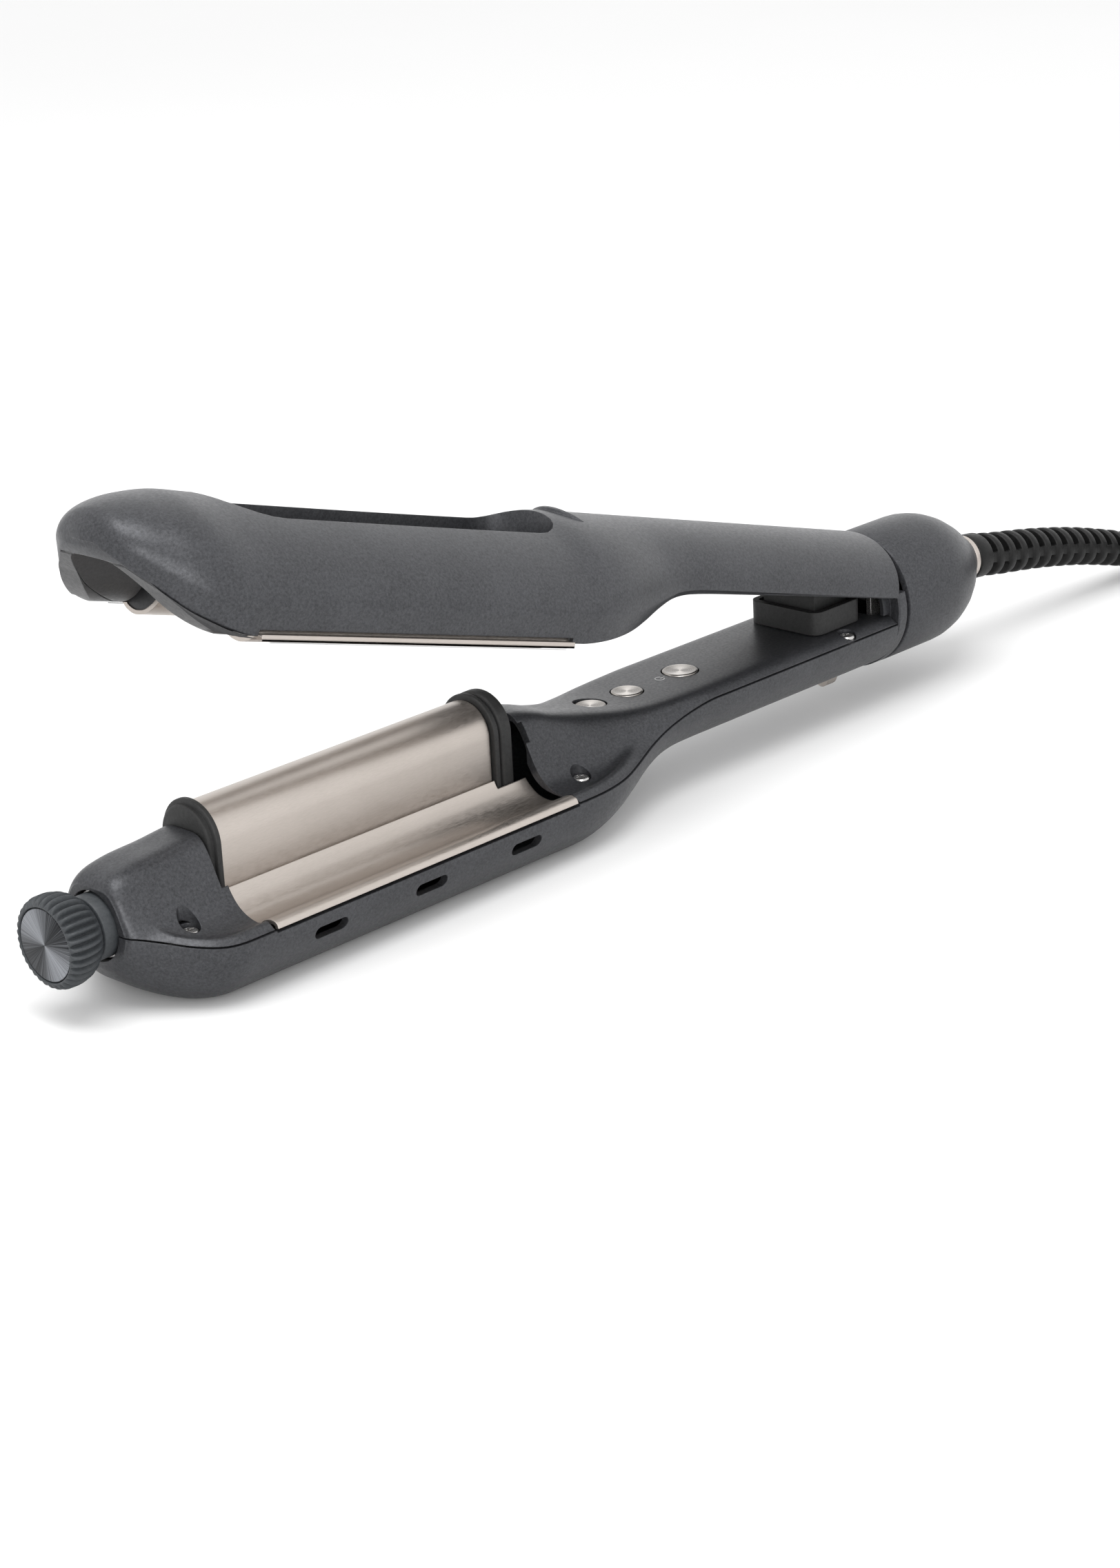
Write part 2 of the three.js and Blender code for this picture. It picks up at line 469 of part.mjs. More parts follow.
// The relief droops as it leaves the cap; its ribs are thin rings around a tapered core.
const reliefAxis = track([[327.3, 6.5], [341, 4.4], [361, 1.1], [381.3, -3.2], [402.6, -9], [414, -12.5]])
const RELIEF = { from: 327.3, x: [333, 413], collar: 6.4, rib: [6.2, 5.3], core: 4.4, count: 14 }
const disc = (r, z, sides) => Array.from({ length: sides }, (_, i) => {
  const a = 2 * Math.PI * i / sides
  return [r * Math.cos(a), z + r * Math.sin(a)]
})
const pitch = (RELIEF.x[1] - RELIEF.x[0]) / RELIEF.count
const reliefRings = [[RELIEF.from, RELIEF.collar], [RELIEF.x[0], RELIEF.collar]]
for (let i = 0; i < RELIEF.count; i++) {
  const x = RELIEF.x[0] + pitch * i
  const r = RELIEF.rib[0] + (RELIEF.rib[1] - RELIEF.rib[0]) * i / RELIEF.count
  reliefRings.push([x + 0.1, RELIEF.core], [x + pitch / 2, RELIEF.core])
  reliefRings.push([x + pitch / 2 + 0.1, r], [x + pitch, r])
}
const reliefRadius = new Map(reliefRings)
add(lower, 'strain_relief', loft([...reliefRadius.keys()],
  (x) => disc(reliefRadius.get(x), reliefAxis(x), 12)), black)
const curveOf = (points) => new THREE.CatmullRomCurve3(points.map((p) => new THREE.Vector3(...p)))

// ---------- travel lock under the handle ----------
const lockTab = extrudeX([[-2.6, -10.5], [2.6, -10.5], [2.4, -12.6], [1.5, -13.7], [0, -14], [-1.5, -13.7],
  [-2.4, -12.6]], LOCK.x - LOCK.half, LOCK.x + LOCK.half)
const lockGrooves = [-1, 0, 1].map((dx) => box(LOCK.x + dx - 0.25, LOCK.x + dx + 0.25, -6, 6, -16, -13.3))
const lockBody = cutBy(join(lockTab, box(LOCK.x - 1.6, LOCK.x + 1.6, -1.2, 1.2, -11, -6)), ...lockGrooves)
add(lower, 'lock_slider', lockBody.add(solid(box(LOCK.x - 4, LOCK.x + 4, -3, 3, -7.2, -5.6))), champagne)

// ---------- upper arm, drawn closed ----------
const upperHalf = track([[11, 4], [11.9, 8.5], [13.4, 11.6], [16.4, 15.2], [20.4, 18.9], [24.3, 22.2],
  [28.9, 25], [33.5, 26.5], [39, HALF_WIDTH], [143, HALF_WIDTH], [150, 26.9], [157, 26.1], [164, 24.6],
  [171, 22.4], [178, 20.2], [185, 18.7], [192, HANDLE_R]])
const upperTop = track([[11, 17], [11.9, 19], [13.4, 20.6], [18.4, 22.8], [24, 24.2], [31.6, 25.2], [42, 25],
  [140, 25.2], [152, 26.2]])
const crease = track([[11, 15], [13.4, 13], [16.4, 11], [20.4, 8.6], [24.3, 6.6], [28.9, 5], [35.3, 3.7],
  [40, 3.2],
  [140, 3.6], [150, 4.2], [160, 5.2], [170, 7], [178, 9], [186, 11], [200, 11.6]])
const upperLip = track([[11, 13.5], [11.9, 12], [13.4, 10.4], [16.4, 8], [20.4, 5], [24.3, 2.4],
  [28.9, 0.4], [33.5, -1.1],
  [39.9, -2.2], [143, -2.2], [149, -2.3], [156, -1.8], [163, -0.4], [170, 1.8], [177, 5], [184, 8.2],
  [192, 9.4], [208, 10], [274, 10.6]])
const crownPower = track([[17, 2], [40, 1.75], [140, 1.75], [160, 2]])
function upperRing(x, inset, steps, floor = upperLip(x)) {
  const [half, top, base] = [upperHalf(x) - inset, upperTop(x) - inset, crease(x)]
  const power = crownPower(x)
  const right = [[half - 0.5, floor], [half, base]]
  for (let i = 1; i <= steps; i++) {
    const a = (Math.PI / 2) * (i / steps)
    right.push([half * Math.cos(a) ** (2 / power), base + (top - base) * Math.sin(a) ** (2 / power)])
  }
  const left = right.slice(0, -1).map(([y, z]) => [-y, z]).reverse()
  return [...right, ...left]
}
const UPPER_STATIONS = [11, 11.7, 12.9, 14.9, 17.4, 20.4, 24, 28, 32.5, 37.5, 45, 143, 150, 157, 164, 171,
  178, 185, 193, 208, ARM_REAR_X]
const upperOuter = solid(loft(UPPER_STATIONS, (x) => upperRing(x, 0, 9)))
const UPPER_INNER = [14, 17.5, 21.5, 26, 31, 37, 45, 143, 152, 164, 176, 188, 208, ARM_REAR_X + 1]
const insideArm = (inset, drop = 20) => solid(loft(UPPER_INNER,
  (x) => upperRing(x, inset, 7, upperLip(x) - drop)))

// What the closed upper arm must clear: the lower covers, the raised barrel and its flanges.
const OVER_RIM = [29, 0, -1.2, -2.7, -4.4, -6] // where it is measured: one far out, then from the edge
const OVER_CROWN = [0.78, 0.66, 0.56, 0.48, 0.42, 0.3, 0] // the rest, as shares of the last one
function clearance(stations, gap) {
  return solid(loft(stations, (x) => {
    const at = Math.max(x, NOSE_X + 4)
    const half = lowerHalf(at)
    const height = (y) => (y < half ? coverHeight(at, y) : seam(at)) + gap
    const last = half + OVER_RIM.at(-1)
    const rim = OVER_RIM.slice(1).map((d) => half + d)
    const across = [OVER_RIM[0], ...rim, ...OVER_CROWN.map((s) => s * last)]
    const right = across.map((y) => [y, height(y)])
    return [[-29, -50], [29, -50], ...right, ...right.slice(0, -1).map(([y, z]) => [-y, z]).reverse()]
  }))
}
const NOSE_ROOM = [4, 17.8, 19.5, 21.5, 24, 30, 36.5, 42.8]
const DECK_ROOM = [136.8, 143, 148, 154, 161, 168, 176, 184, 194]
const COVER_GAP = 1.0
const barrelRoom = box(36.8, 137.6, -CHANNEL_HALF, CHANNEL_HALF, -20, 21.6)
const slotPlan = [[SLOT.x[0], 0], [44, -6], [50, -10.6], [57, -SLOT.half], [138, -SLOT.half], [144, -10.6],
  [147, -7], [SLOT.x[1], 0], [147, 7], [144, 10.6], [138, SLOT.half], [57, SLOT.half], [50, 10.6], [44, 6]]
const slotRoom = extrudeZ(slotPlan, 10, 40)
const noseRoom = clearance(NOSE_ROOM, COVER_GAP)
const deckRoomAbove = clearance(DECK_ROOM, COVER_GAP)
const shellBody = upperOuter.subtract(insideArm(WALL)).subtract(noseRoom).subtract(deckRoomAbove)
const ridge = extrudeZ([[155.6, -6.5], [152.6, -4], [151.4, 0], [152.6, 4], [155.6, 6.5], [154, 3.4],
  [153, 0], [154, -3.4]], 24.6, 26.9)
const UPPER_LIP_Z = -1.2 // the lip is higher beside the plates, whose edges show under it
const lipRooms = [box(40.3, 139.7, -40, 40, -20, UPPER_LIP_Z),
  box(40.3, 139.7, -26.3, 26.3, -20, UPPER_LIP_Z + 0.6)]
add(upper, 'upper_shell', cutBy(shellBody.add(solid(ridge)), slotRoom, ...lipRooms), graphite)

const LINER_TOP = 16.5
const linerInset = WALL + GAP + 0.1
const linerEnds = [[12, 39.9], [140.1, 182]]
const raised = (stations) => clearance(stations, COVER_GAP + 2)
const hollow = insideArm(linerInset + 2).subtract(raised(NOSE_ROOM)).subtract(raised(DECK_ROOM))
const linerStock = linerEnds.map(([x0, x1]) => solid(box(x0, x1, -40, 40, -10, LINER_TOP)))
const linerBody = linerStock[0].add(linerStock[1]).intersect(insideArm(linerInset, 0)).subtract(hollow)
const channelWalls = [-1, 1].map((side) => {
  const [y0, y1] = side > 0 ? [CHANNEL_HALF + GAP, SLOT.half - 0.3] : [0.3 - SLOT.half, -CHANNEL_HALF - GAP]
  return box(39, 141, y0, y1, 2.2, 19.2)
})
const PLATE_SPACING = 0.5 // between the waves of the two arms when they are closed
const plateEnd = strip(lineBelow(TROUGH.slice(1, -3), -PLATE_SPACING), -2.6)
const plateEnds = [[38, 40.2], [139.8, 142]].flatMap(([x0, x1]) => [
  extrudeX(mirrorY(plateEnd), x0, x1),
  extrudeX(plateEnd, x0, x1),
])
const lipBand = solid(loft([25, 28, 32.5, 38, 39.6], (x) => {
  const half = upperHalf(x) - 0.6
  const [z0, z1] = [upperLip(x) - 1.6, upperLip(x) - GAP]
  return [[-half, z0], [half, z0], [half, z1], [-half, z1]]
}))
const walls = join(...channelWalls).intersect(insideArm(linerInset))
const liner = linerBody.add(walls).add(lipBand).add(join(...plateEnds))
add(upper, 'upper_liner', cutBy(liner.subtract(noseRoom).subtract(deckRoomAbove), barrelRoom), graphite)

const UPPER_PLATE_X = [40.5, 139.5]
const upperProfile = strip(lineBelow(TROUGH, -PLATE_SPACING), -PLATE_THICKNESS)
  .map(([y, z]) => [Math.min(y, 26.9), y > 24.8 ? Math.min(z, UPPER_LIP_Z - GAP) : z])
for (const [side, turn] of [['near', mirrorY], ['far', (p) => p]]) {
  const wave = solid(extrudeX(turn(upperProfile), ...UPPER_PLATE_X))
  const plate = wave.subtract(noseRoom).subtract(deckRoomAbove)
  add(upper, `upper_plate_${side}`, cutBy(plate, ...flangeRoom(-20, 20)), champagne)
  const heater = turn([[14, -1.6], [21, -1.6], [21, -0.2], [14, -0.2]])
  add(upper, `upper_heater_${side}`, extrudeX(heater, 58, 124), mica)
}

const BASE = { x: [184, 270], above: [0.9, 2.4] }
const baseRing = (x) => {
  const half = upperHalf(x) - WALL - 0.7
  const [z0, z1] = BASE.above.map((up) => upperLip(x) + up)
  return [[-half, z0], [half, z0], [half, z1], [-half, z1]]
}
const shroudRoom = box(SHROUD.x[0] - 1.5, 280, -SHROUD.half - 0.8, SHROUD.half + 0.8, 0, 30)
add(upper, 'upper_base', cutBy(solid(loft([BASE.x[0], 192, 208, BASE.x[1]], baseRing)), shroudRoom), graphite)

// The boss turns about the pin inside the shroud, so its front face is an arc about the pin.
const BOSS = { r: [24.2, 9.5], half: 8.6, z: [-3, 22], lug: [5.6, 8.4] }
const arc = (r, z0, z1) => Array.from({ length: 7 }, (_, i) => {
  const z = z0 + (z1 - z0) * i / 6
  return [HINGE.x - Math.sqrt(r * r - (z - HINGE.z) ** 2), z]
})
const bossSide = [...arc(BOSS.r[0], BOSS.z[0], BOSS.z[1]), [264.5, BOSS.z[1]], [264.5, 6], [258, BOSS.z[0]]]
const lugs = [-1, 1].map((side) => {
  const [y0, y1] = side > 0 ? BOSS.lug : [-BOSS.lug[1], -BOSS.lug[0]]
  return join(rodY(4, y0, y1, HINGE.x, HINGE.z, 20), box(262, HINGE.x, y0, y1, HINGE.z, HINGE.z + 4))
})
const boss = join(extrudeY(bossSide, -BOSS.half, BOSS.half)).add(lugs[0]).add(lugs[1])
const bossPocket = box(254, 262, -BOSS.half + 1.8, BOSS.half - 1.8, 4, 40)
const pinRoom = rodY(PIN.r + 0.3, -20, 20, HINGE.x, HINGE.z, 20)
add(upper, 'upper_hinge_boss', cutBy(boss, pinRoom, bossPocket), rubber)
for (const [name, x] of [['front', 200], ['rear', 240]]) {
  const z = upperLip(x) + BASE.above[0]
  add(upper, `base_screw_${name}`, rodZ(2, z - 1.5, z - 0.4, x, 0, 12), steel)
}

// ---------- cord, its coil and the plug ----------
const CORD_Z = FLOOR_Z + CORD.r + 0.1
const cordRoute = [[414.6, 0, -12.7], [420, 0.5, -14.2], [427, 2.1, -15.6], [434, 4.4, CORD_Z],
  [440, 6.55, CORD_Z]]
add(lower, 'cord', tube(curveOf(cordRoute), CORD.r, 12, 10), black)
const coilReach = COIL.pitch * (COIL.columns - 1) / 2
const innerTurn = COIL.middle - coilReach
const [ringIn, ringOut] = [innerTurn - CORD.r, COIL.middle + coilReach + CORD.r]
const ringTop = COIL.pitch * (COIL.layers - 1) + 2 * CORD.r + 0.2
const ringSection = [[ringIn, 0.1], [ringOut, 0.1], [ringOut, ringTop], [ringIn, ringTop], [ringIn, 0.1]]
const coil = new THREE.LatheGeometry(ringSection.map(([r, h]) => new THREE.Vector2(r, h)), 40)
add(lower, 'cord_coil', coil.rotateX(Math.PI / 2).translate(...COIL.centre, FLOOR_Z), black)
// The plug lies on the coil, in line with the turn that it ends.
const PLUG = { x: [430.5, 466.5], y: COIL.centre[1] - innerTurn, half: [12.5, 5], z: [0.1, 15.5], taper: 16 }
const plugPlan = [[PLUG.x[0], -PLUG.half[0]], [PLUG.x[1] - PLUG.taper, -PLUG.half[0]],
  [PLUG.x[1], -PLUG.half[1]], [PLUG.x[1], PLUG.half[1]], [PLUG.x[1] - PLUG.taper, PLUG.half[0]],
  [PLUG.x[0], PLUG.half[0]]]
const plugBase = FLOOR_Z + ringTop
const plugZ = plugBase + (PLUG.z[0] + PLUG.z[1]) / 2
const plugAt = plugPlan.map(([x, y]) => [x, y + PLUG.y])
add(lower, 'plug', extrudeZ(plugAt, plugBase + PLUG.z[0], plugBase + PLUG.z[1]), black)
for (const [name, dy] of [['near', -6.35], ['far', 6.35]]) {
  add(lower, `plug_pin_${name}`, rodX(2, PLUG.x[0] - 17, PLUG.x[0] - GAP, PLUG.y + dy, plugZ, 14), steel)
}

// ---------- place the arms, then the origin ----------
const pivot = new THREE.Group()
pivot.position.set(HINGE.x, 0, HINGE.z)
pivot.rotation.y = THREE.MathUtils.degToRad(OPEN_ANGLE)
upper.position.set(-HINGE.x, 0, -HINGE.z)
pivot.add(upper)
const tool = new THREE.Group()
tool.add(lower, pivot)
tool.updateMatrixWorld(true)
const CORD_NODES = ['cord', 'cord_coil', 'plug', 'plug_pin_near', 'plug_pin_far']
const body = new THREE.Box3()
tool.traverse((node) => {
  if (node.isMesh && !CORD_NODES.includes(node.name)) body.expandByObject(node, true)
})
tool.position.set(-(body.min.x + body.max.x) / 2, -(body.min.y + body.max.y) / 2, -body.min.z)
group.add(tool)
export default group
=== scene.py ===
# The looks of the hair crimper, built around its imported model.
# Shapes are worked out in millimetres in the drawing's own frame, as in the CAD source:
# x = 0 at the knob's face and z = 0 on the knob's axis. settle() moves a finished piece to the row frame, and
# row() a point. The upper arm is drawn closed, and settle() opens it to its rest.
import math
import bmesh
import bpy
from mathutils import Matrix, Vector


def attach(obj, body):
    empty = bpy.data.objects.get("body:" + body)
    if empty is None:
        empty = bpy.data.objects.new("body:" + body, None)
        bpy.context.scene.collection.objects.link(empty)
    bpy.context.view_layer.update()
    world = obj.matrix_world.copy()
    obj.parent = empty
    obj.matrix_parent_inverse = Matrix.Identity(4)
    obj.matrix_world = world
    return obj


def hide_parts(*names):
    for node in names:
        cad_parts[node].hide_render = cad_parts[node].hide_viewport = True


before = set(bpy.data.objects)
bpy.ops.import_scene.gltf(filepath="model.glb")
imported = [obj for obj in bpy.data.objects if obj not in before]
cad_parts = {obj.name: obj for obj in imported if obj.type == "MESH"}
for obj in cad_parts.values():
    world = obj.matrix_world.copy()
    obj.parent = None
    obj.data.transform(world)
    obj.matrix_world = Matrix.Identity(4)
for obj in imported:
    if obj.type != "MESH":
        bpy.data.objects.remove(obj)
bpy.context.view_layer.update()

SHIFT = Vector((-206.5, 0.0, 19.4))
HINGE = Vector((274.7, 0.0, 12.8))
OPEN_ANGLE = math.radians(15.8)
TO_ROW = Matrix.Scale(0.001, 4) @ Matrix.Translation(SHIFT)
OPENED = Matrix.Translation(HINGE) @ Matrix.Rotation(OPEN_ANGLE, 4, "Y") @ Matrix.Translation(-HINGE)
FLOOR_Z = -19.4

scene = bpy.context.scene


def row(x, y, z):
    """A point of the drawing's frame, in the row frame in metres."""
    return TO_ROW @ Vector((x, y, z))


def in_scene(name, data):
    """A new object of the scene."""
    made = bpy.data.objects.new(name, data)
    scene.collection.objects.link(made)
    return made


# ---------- camera ----------
def make_camera(azimuth, elevation, roll, lens, distance, aim, offset):
    """Looks towards aim from a distance, with aim moved across the picture by an offset."""
    az, el, tilt = (math.radians(a) for a in (azimuth, elevation, roll))
    back = Vector((-math.sin(az) * math.cos(el), -math.cos(az) * math.cos(el), math.sin(el)))
    side = Vector((math.cos(az), -math.sin(az), 0))
    up = back.cross(side)
    right = math.cos(tilt) * side + math.sin(tilt) * up
    upward = -math.sin(tilt) * side + math.cos(tilt) * up
    eye = row(*(Vector(aim) - offset[0] * right - offset[1] * upward + distance * back))
    data = bpy.data.cameras.new("camera")
    data.lens = lens
    data.sensor_width = 36
    camera = in_scene("camera", data)
    turn = Matrix((right, upward, back)).transposed().to_4x4()
    camera.matrix_world = Matrix.Translation(eye) @ turn
    scene.camera = camera


make_camera(azimuth=45.70, elevation=20.07, roll=-2.95, lens=76.0, distance=820.6, aim=(165, 0, 0),
            offset=(2.39, 11.70))

# ---------- the cord's line ----------
CORD_R = 3.0
CORD_Z = FLOOR_Z + CORD_R + 0.1
CORD_LEAD = [(411.5, 0, -11.8), (414.6, 0, -12.7), (420, 0.5, -14.2), (427, 2.1, -15.6), (434, 4.4, CORD_Z),
             (440, 6.55, CORD_Z), (451.5, 10.65, CORD_Z)]
COIL = {"centre": (476.5, -23.0), "middle": 34.0, "pitch": 6.1, "start": 109.7, "turns": 7.555}
# Each layer of the coil steps sideways at its own angle of a turn, and climbs at another in its last turn.
LAYER_TURNS = 3
STEP_AT = (300, 180, 60)
CLIMB_AT = (240, 120)
STEP_ANGLE = 60
PLUG_CLIMB_ANGLE = 115
PLUG_X = (430.5, 466.5)
PLUG_Z = (-0.9, 14.5)


def ease(t):
    t = min(max(t, 0.0), 1.0)
    return t * t * (3 - 2 * t)


def coil_points(per_turn=24):
    """Three layers of turns: in, out and in again. Each turn keeps its radius but for one short step.

    The steps of the layers, and the climbs between them, follow each other round, so no two turns meet.
    """
    (cx, cy), pitch = COIL["centre"], COIL["pitch"]
    plug_lift = (PLUG_Z[0] + PLUG_Z[1]) / 2 - (CORD_Z + 2 * pitch)
    count = int(COIL["turns"] * per_turn)
    points = []
    for i in range(count + 1):
        t = COIL["turns"] * i / count
        turn, part = int(t), (t - int(t)) * 360
        layer, within = divmod(turn, LAYER_TURNS)
        column = min(within + ease((part - STEP_AT[layer]) / STEP_ANGLE), LAYER_TURNS - 1)
        if layer == 1:
            column = LAYER_TURNS - 1 - column
        last_turn = within == LAYER_TURNS - 1
        height = layer + (ease((part - CLIMB_AT[layer]) / STEP_ANGLE) if last_turn else 0)
        left = (COIL["turns"] - t) * 360
        climb = ease((PLUG_CLIMB_ANGLE - left) / PLUG_CLIMB_ANGLE)
        radius = COIL["middle"] + pitch * (1 - column)
        angle = math.radians(COIL["start"] - t * 360)
        z = CORD_Z + pitch * height + plug_lift * climb
        points.append((cx + radius * math.cos(angle), cy + radius * math.sin(angle), z))
    return points


def cord_points():
    """The lead from the strain relief, the coil, and a straight end that goes into the plug."""
    coil = coil_points()
    end = coil[-1]
    return CORD_LEAD + coil + [(PLUG_X[1] + 3, end[1], end[2]), (PLUG_X[1] - 5, end[1], end[2])]


def smooth_curve(name, points, radius):
    data = bpy.data.curves.new(name, "CURVE")
    data.dimensions = "3D"
    data.bevel_depth = radius * 0.001
    data.bevel_resolution = 6
    data.resolution_u = 6
    data.use_fill_caps = True
    spline = data.splines.new("BEZIER")
    spline.bezier_points.add(len(points) - 1)
    for point, at in zip(spline.bezier_points, points):
        point.co = row(*at)
        point.handle_left_type = point.handle_right_type = "AUTO"
    return in_scene(name, data)


cord = smooth_curve("mains_cord", cord_points(), CORD_R)


# ---------- node materials ----------
class Paint:
    """A principled material with a few short ways to add nodes."""

    def __init__(self, name, **constants):
        self.material = bpy.data.materials.new(name)
        self.material.use_nodes = True
        self.tree = self.material.node_tree
        self.shader = self.tree.nodes["Principled BSDF"]
        self.place = self.node("ShaderNodeTexCoord").outputs["Object"]
        for key, value in constants.items():
            self.shader.inputs[key.replace("_", " ")].default_value = value

    def node(self, kind, inputs=None, **settings):
        made = self.tree.nodes.new(kind)
        for key, value in settings.items():
            setattr(made, key, value)
        for key, value in (inputs or {}).items():
            if isinstance(value, bpy.types.NodeSocket):
                self.tree.links.new(value, made.inputs[key])
            else:
                made.inputs[key].default_value = value
        return made

    def link(self, socket, key):
        self.tree.links.new(socket, self.shader.inputs[key])

    def noise(self, scale, detail=2.0, stretch=None):
        at = self.place
        if stretch:
            at = self.node("ShaderNodeMapping", {"Vector": at, "Scale": stretch}).outputs["Vector"]
        inputs = {"Vector": at, "Scale": scale, "Detail": detail}
        return self.node("ShaderNodeTexNoise", inputs).outputs["Fac"]

    def math(self, operation, a, b=0.0):
        return self.node("ShaderNodeMath", {0: a, 1: b}, operation=operation).outputs[0]

    def total(self, *shares):
        """The sum of (value, weight) pairs."""
        tone, *others = [self.math("MULTIPLY", value, weight) for value, weight in shares]
        for other in others:
            tone = self.math("ADD", tone, other)
        return tone

    def spread(self, value, low, high, start=0.3, stop=0.7):
        inputs = {"Value": value, "From Min": start, "From Max": stop, "To Min": low, "To Max": high}
        return self.node("ShaderNodeMapRange", inputs).outputs["Result"]

    def blend(self, factor, a, b):
        """A mix of two colours, by the mix node's colour sockets."""
        return self.node("ShaderNodeMix", {0: factor, 6: a, 7: b}, data_type="RGBA").outputs[2]

    def bump(self, height, distance, strength, edge):
        """A bumped surface, with its edges softened by a radius."""
        soft = self.node("ShaderNodeBevel", {"Radius": edge}, samples=4).outputs["Normal"]
        inputs = {"Height": height, "Distance": distance, "Strength": strength, "Normal": soft}
        return self.node("ShaderNodeBump", inputs).outputs["Normal"]


def grey(r, g=None, b=None):
    return (r, r if g is None else g, r if b is None else b, 1.0)


def moulded(name, low, high, roughness, metallic=0.0, grain=2600, depth=2e-5, edge=3e-4, coat=0.0, shine=0.5):
    """Satin moulding: two close tones, a fine grain, and softened edges."""
    paint = Paint(name, Metallic=metallic, Coat_Weight=coat, Coat_Roughness=0.3, Specular_IOR_Level=shine)
    flecks, spots = paint.noise(grain * 1.7, 1.0), paint.noise(grain * 0.62, 1.0)
    clouds = paint.noise(60, 3.0)
    tone = paint.total((flecks, 0.35), (clouds, 0.2), (spots, 0.45))
    paint.link(paint.blend(paint.spread(tone, 0, 1, 0.32, 0.68), low, high), "Base Color")
    paint.link(paint.spread(paint.noise(grain * 0.5), roughness - 0.05, roughness + 0.06), "Roughness")
    paint.link(paint.bump(paint.noise(grain), depth, 0.6, edge), "Normal")
    return paint.material


def brushed(name, low, high, roughness, stretch):
    """Satin metal with faint lines along one direction."""
    paint = Paint(name, Metallic=0.95)
    lines = paint.noise(5200, 2.0, stretch)
    tone = paint.total((lines, 0.7), (paint.noise(70, 2.0), 0.3))
    paint.link(paint.blend(paint.spread(tone, 0, 1), low, high), "Base Color")
    paint.link(paint.spread(lines, roughness - 0.06, roughness + 0.08), "Roughness")
    paint.link(paint.bump(lines, 6e-6, 0.5, 2.5e-4), "Normal")
    return paint.material


def spun(name, low, high, axis, turn, rays=0.0):
    """Turned metal: fine rings about the piece's own origin, or rays out from it, with a painted highlight:
    two opposite fans of brighter colour, set by turn.
    """
    paint = Paint(name, Metallic=1.0)
    keep = (1, 1, 0) if axis == "Z" else (0, 1, 1)
    flat = paint.node("ShaderNodeVectorMath", {0: paint.place, 1: keep}, operation="MULTIPLY").outputs[0]
    radius = paint.node("ShaderNodeVectorMath", {0: flat}, operation="LENGTH").outputs["Value"]
    parts = paint.node("ShaderNodeSeparateXYZ", {0: paint.place})
    first = 0 if axis == "Z" else 1
    angle = paint.math("ARCTAN2", parts.outputs[first + 1], parts.outputs[first])
    if rays:
        unit = paint.node("ShaderNodeVectorMath", {0: flat}, operation="NORMALIZE").outputs[0]
        inputs = {"Vector": unit, "Scale": rays, "Detail": 3.0}
        grain = paint.node("ShaderNodeTexNoise", inputs).outputs["Fac"]
    else:
        inputs = {"W": radius, "Scale": 9000.0, "Detail": 2.0}
        grain = paint.node("ShaderNodeTexNoise", inputs, noise_dimensions="1D").outputs["Fac"]
    # Painted highlight: the colour is brighter in two opposite fans round the axis, set by turn, in place of
    # the lamps' glint.
    painted_highlight_fans = paint.math("ABSOLUTE", paint.math("SINE", paint.math("ADD", angle, turn)))
    tone = paint.total((grain, 0.62), (paint.math("POWER", painted_highlight_fans, 3.0), 0.38))
    paint.link(paint.blend(paint.spread(tone, 0, 1, 0.3, 0.75), low, high), "Base Color")
    paint.link(paint.spread(grain, 0.24, 0.42), "Roughness")
    paint.link(paint.bump(grain, 1.2e-5, 0.6, 2e-4), "Normal")
    return paint.material


GRAPHITE = moulded("graphite", grey(0.022, 0.0225, 0.025), grey(0.060, 0.0615, 0.067), 0.40, 0.5, coat=0.05,
                   shine=0.4)
LINER = moulded("graphite_inner", grey(0.020, 0.020, 0.021), grey(0.034, 0.034, 0.036), 0.45, 0.2)
RUBBER = moulded("rubber", grey(0.012), grey(0.021), 0.55, grain=1900, depth=4e-5, shine=0.3)
KNOB_RUBBER = moulded("knob_rubber", grey(0.023, 0.026, 0.029), grey(0.039, 0.043, 0.047), 0.5, grain=1900,
                      depth=4e-5, shine=0.35)
RELIEF_RUBBER = moulded("relief_rubber", grey(0.003), grey(0.007), 0.45, grain=1700, depth=4e-5, shine=0.2)
CABLE = moulded("cable", grey(0.004), grey(0.009), 0.45, grain=1200, depth=3e-5, shine=0.25)
NYLON = moulded("nylon", grey(0.02), grey(0.035), 0.5)
CHAMPAGNE = brushed("champagne", grey(0.43, 0.39, 0.355), grey(0.50, 0.455, 0.42), 0.36, (0.12, 1, 1))
STEEL = brushed("steel", grey(0.42, 0.41, 0.40), grey(0.62, 0.61, 0.60), 0.28, (1, 1, 1))
# The buttons and the knob's disc get painted highlight fans from spun(); turn sets where they lie.
BUTTON = spun("spun_steel", grey(0.20, 0.185, 0.17), grey(0.74, 0.70, 0.66), "Z", turn=0.9)
SUNBURST = spun("disc", grey(0.02, 0.021, 0.023), grey(0.26, 0.27, 0.29), "X", rays=26.0, turn=0.75)
BOARD = moulded("board", grey(0.02, 0.10, 0.045), grey(0.03, 0.14, 0.06), 0.5)
MICA = moulded("mica", grey(0.28, 0.25, 0.20), grey(0.38, 0.34, 0.28), 0.6)
INK = moulded("print", grey(0.50), grey(0.58), 0.5, depth=0, edge=1e-5)


# ---------- meshes in millimetres ----------
def mesh_object(name, points, faces):
    mesh = bpy.data.meshes.new(name)
    mesh.from_pydata([tuple(p) for p in points], [], faces)
    mesh.validate()
    return in_scene(name, mesh)


def outward(piece):
    """Turns the faces of a closed piece outwards."""
    work = bmesh.new()
    work.from_mesh(piece.data)
    bmesh.ops.recalc_face_normals(work, faces=work.faces)
    work.to_mesh(piece.data)
    work.free()
    return piece


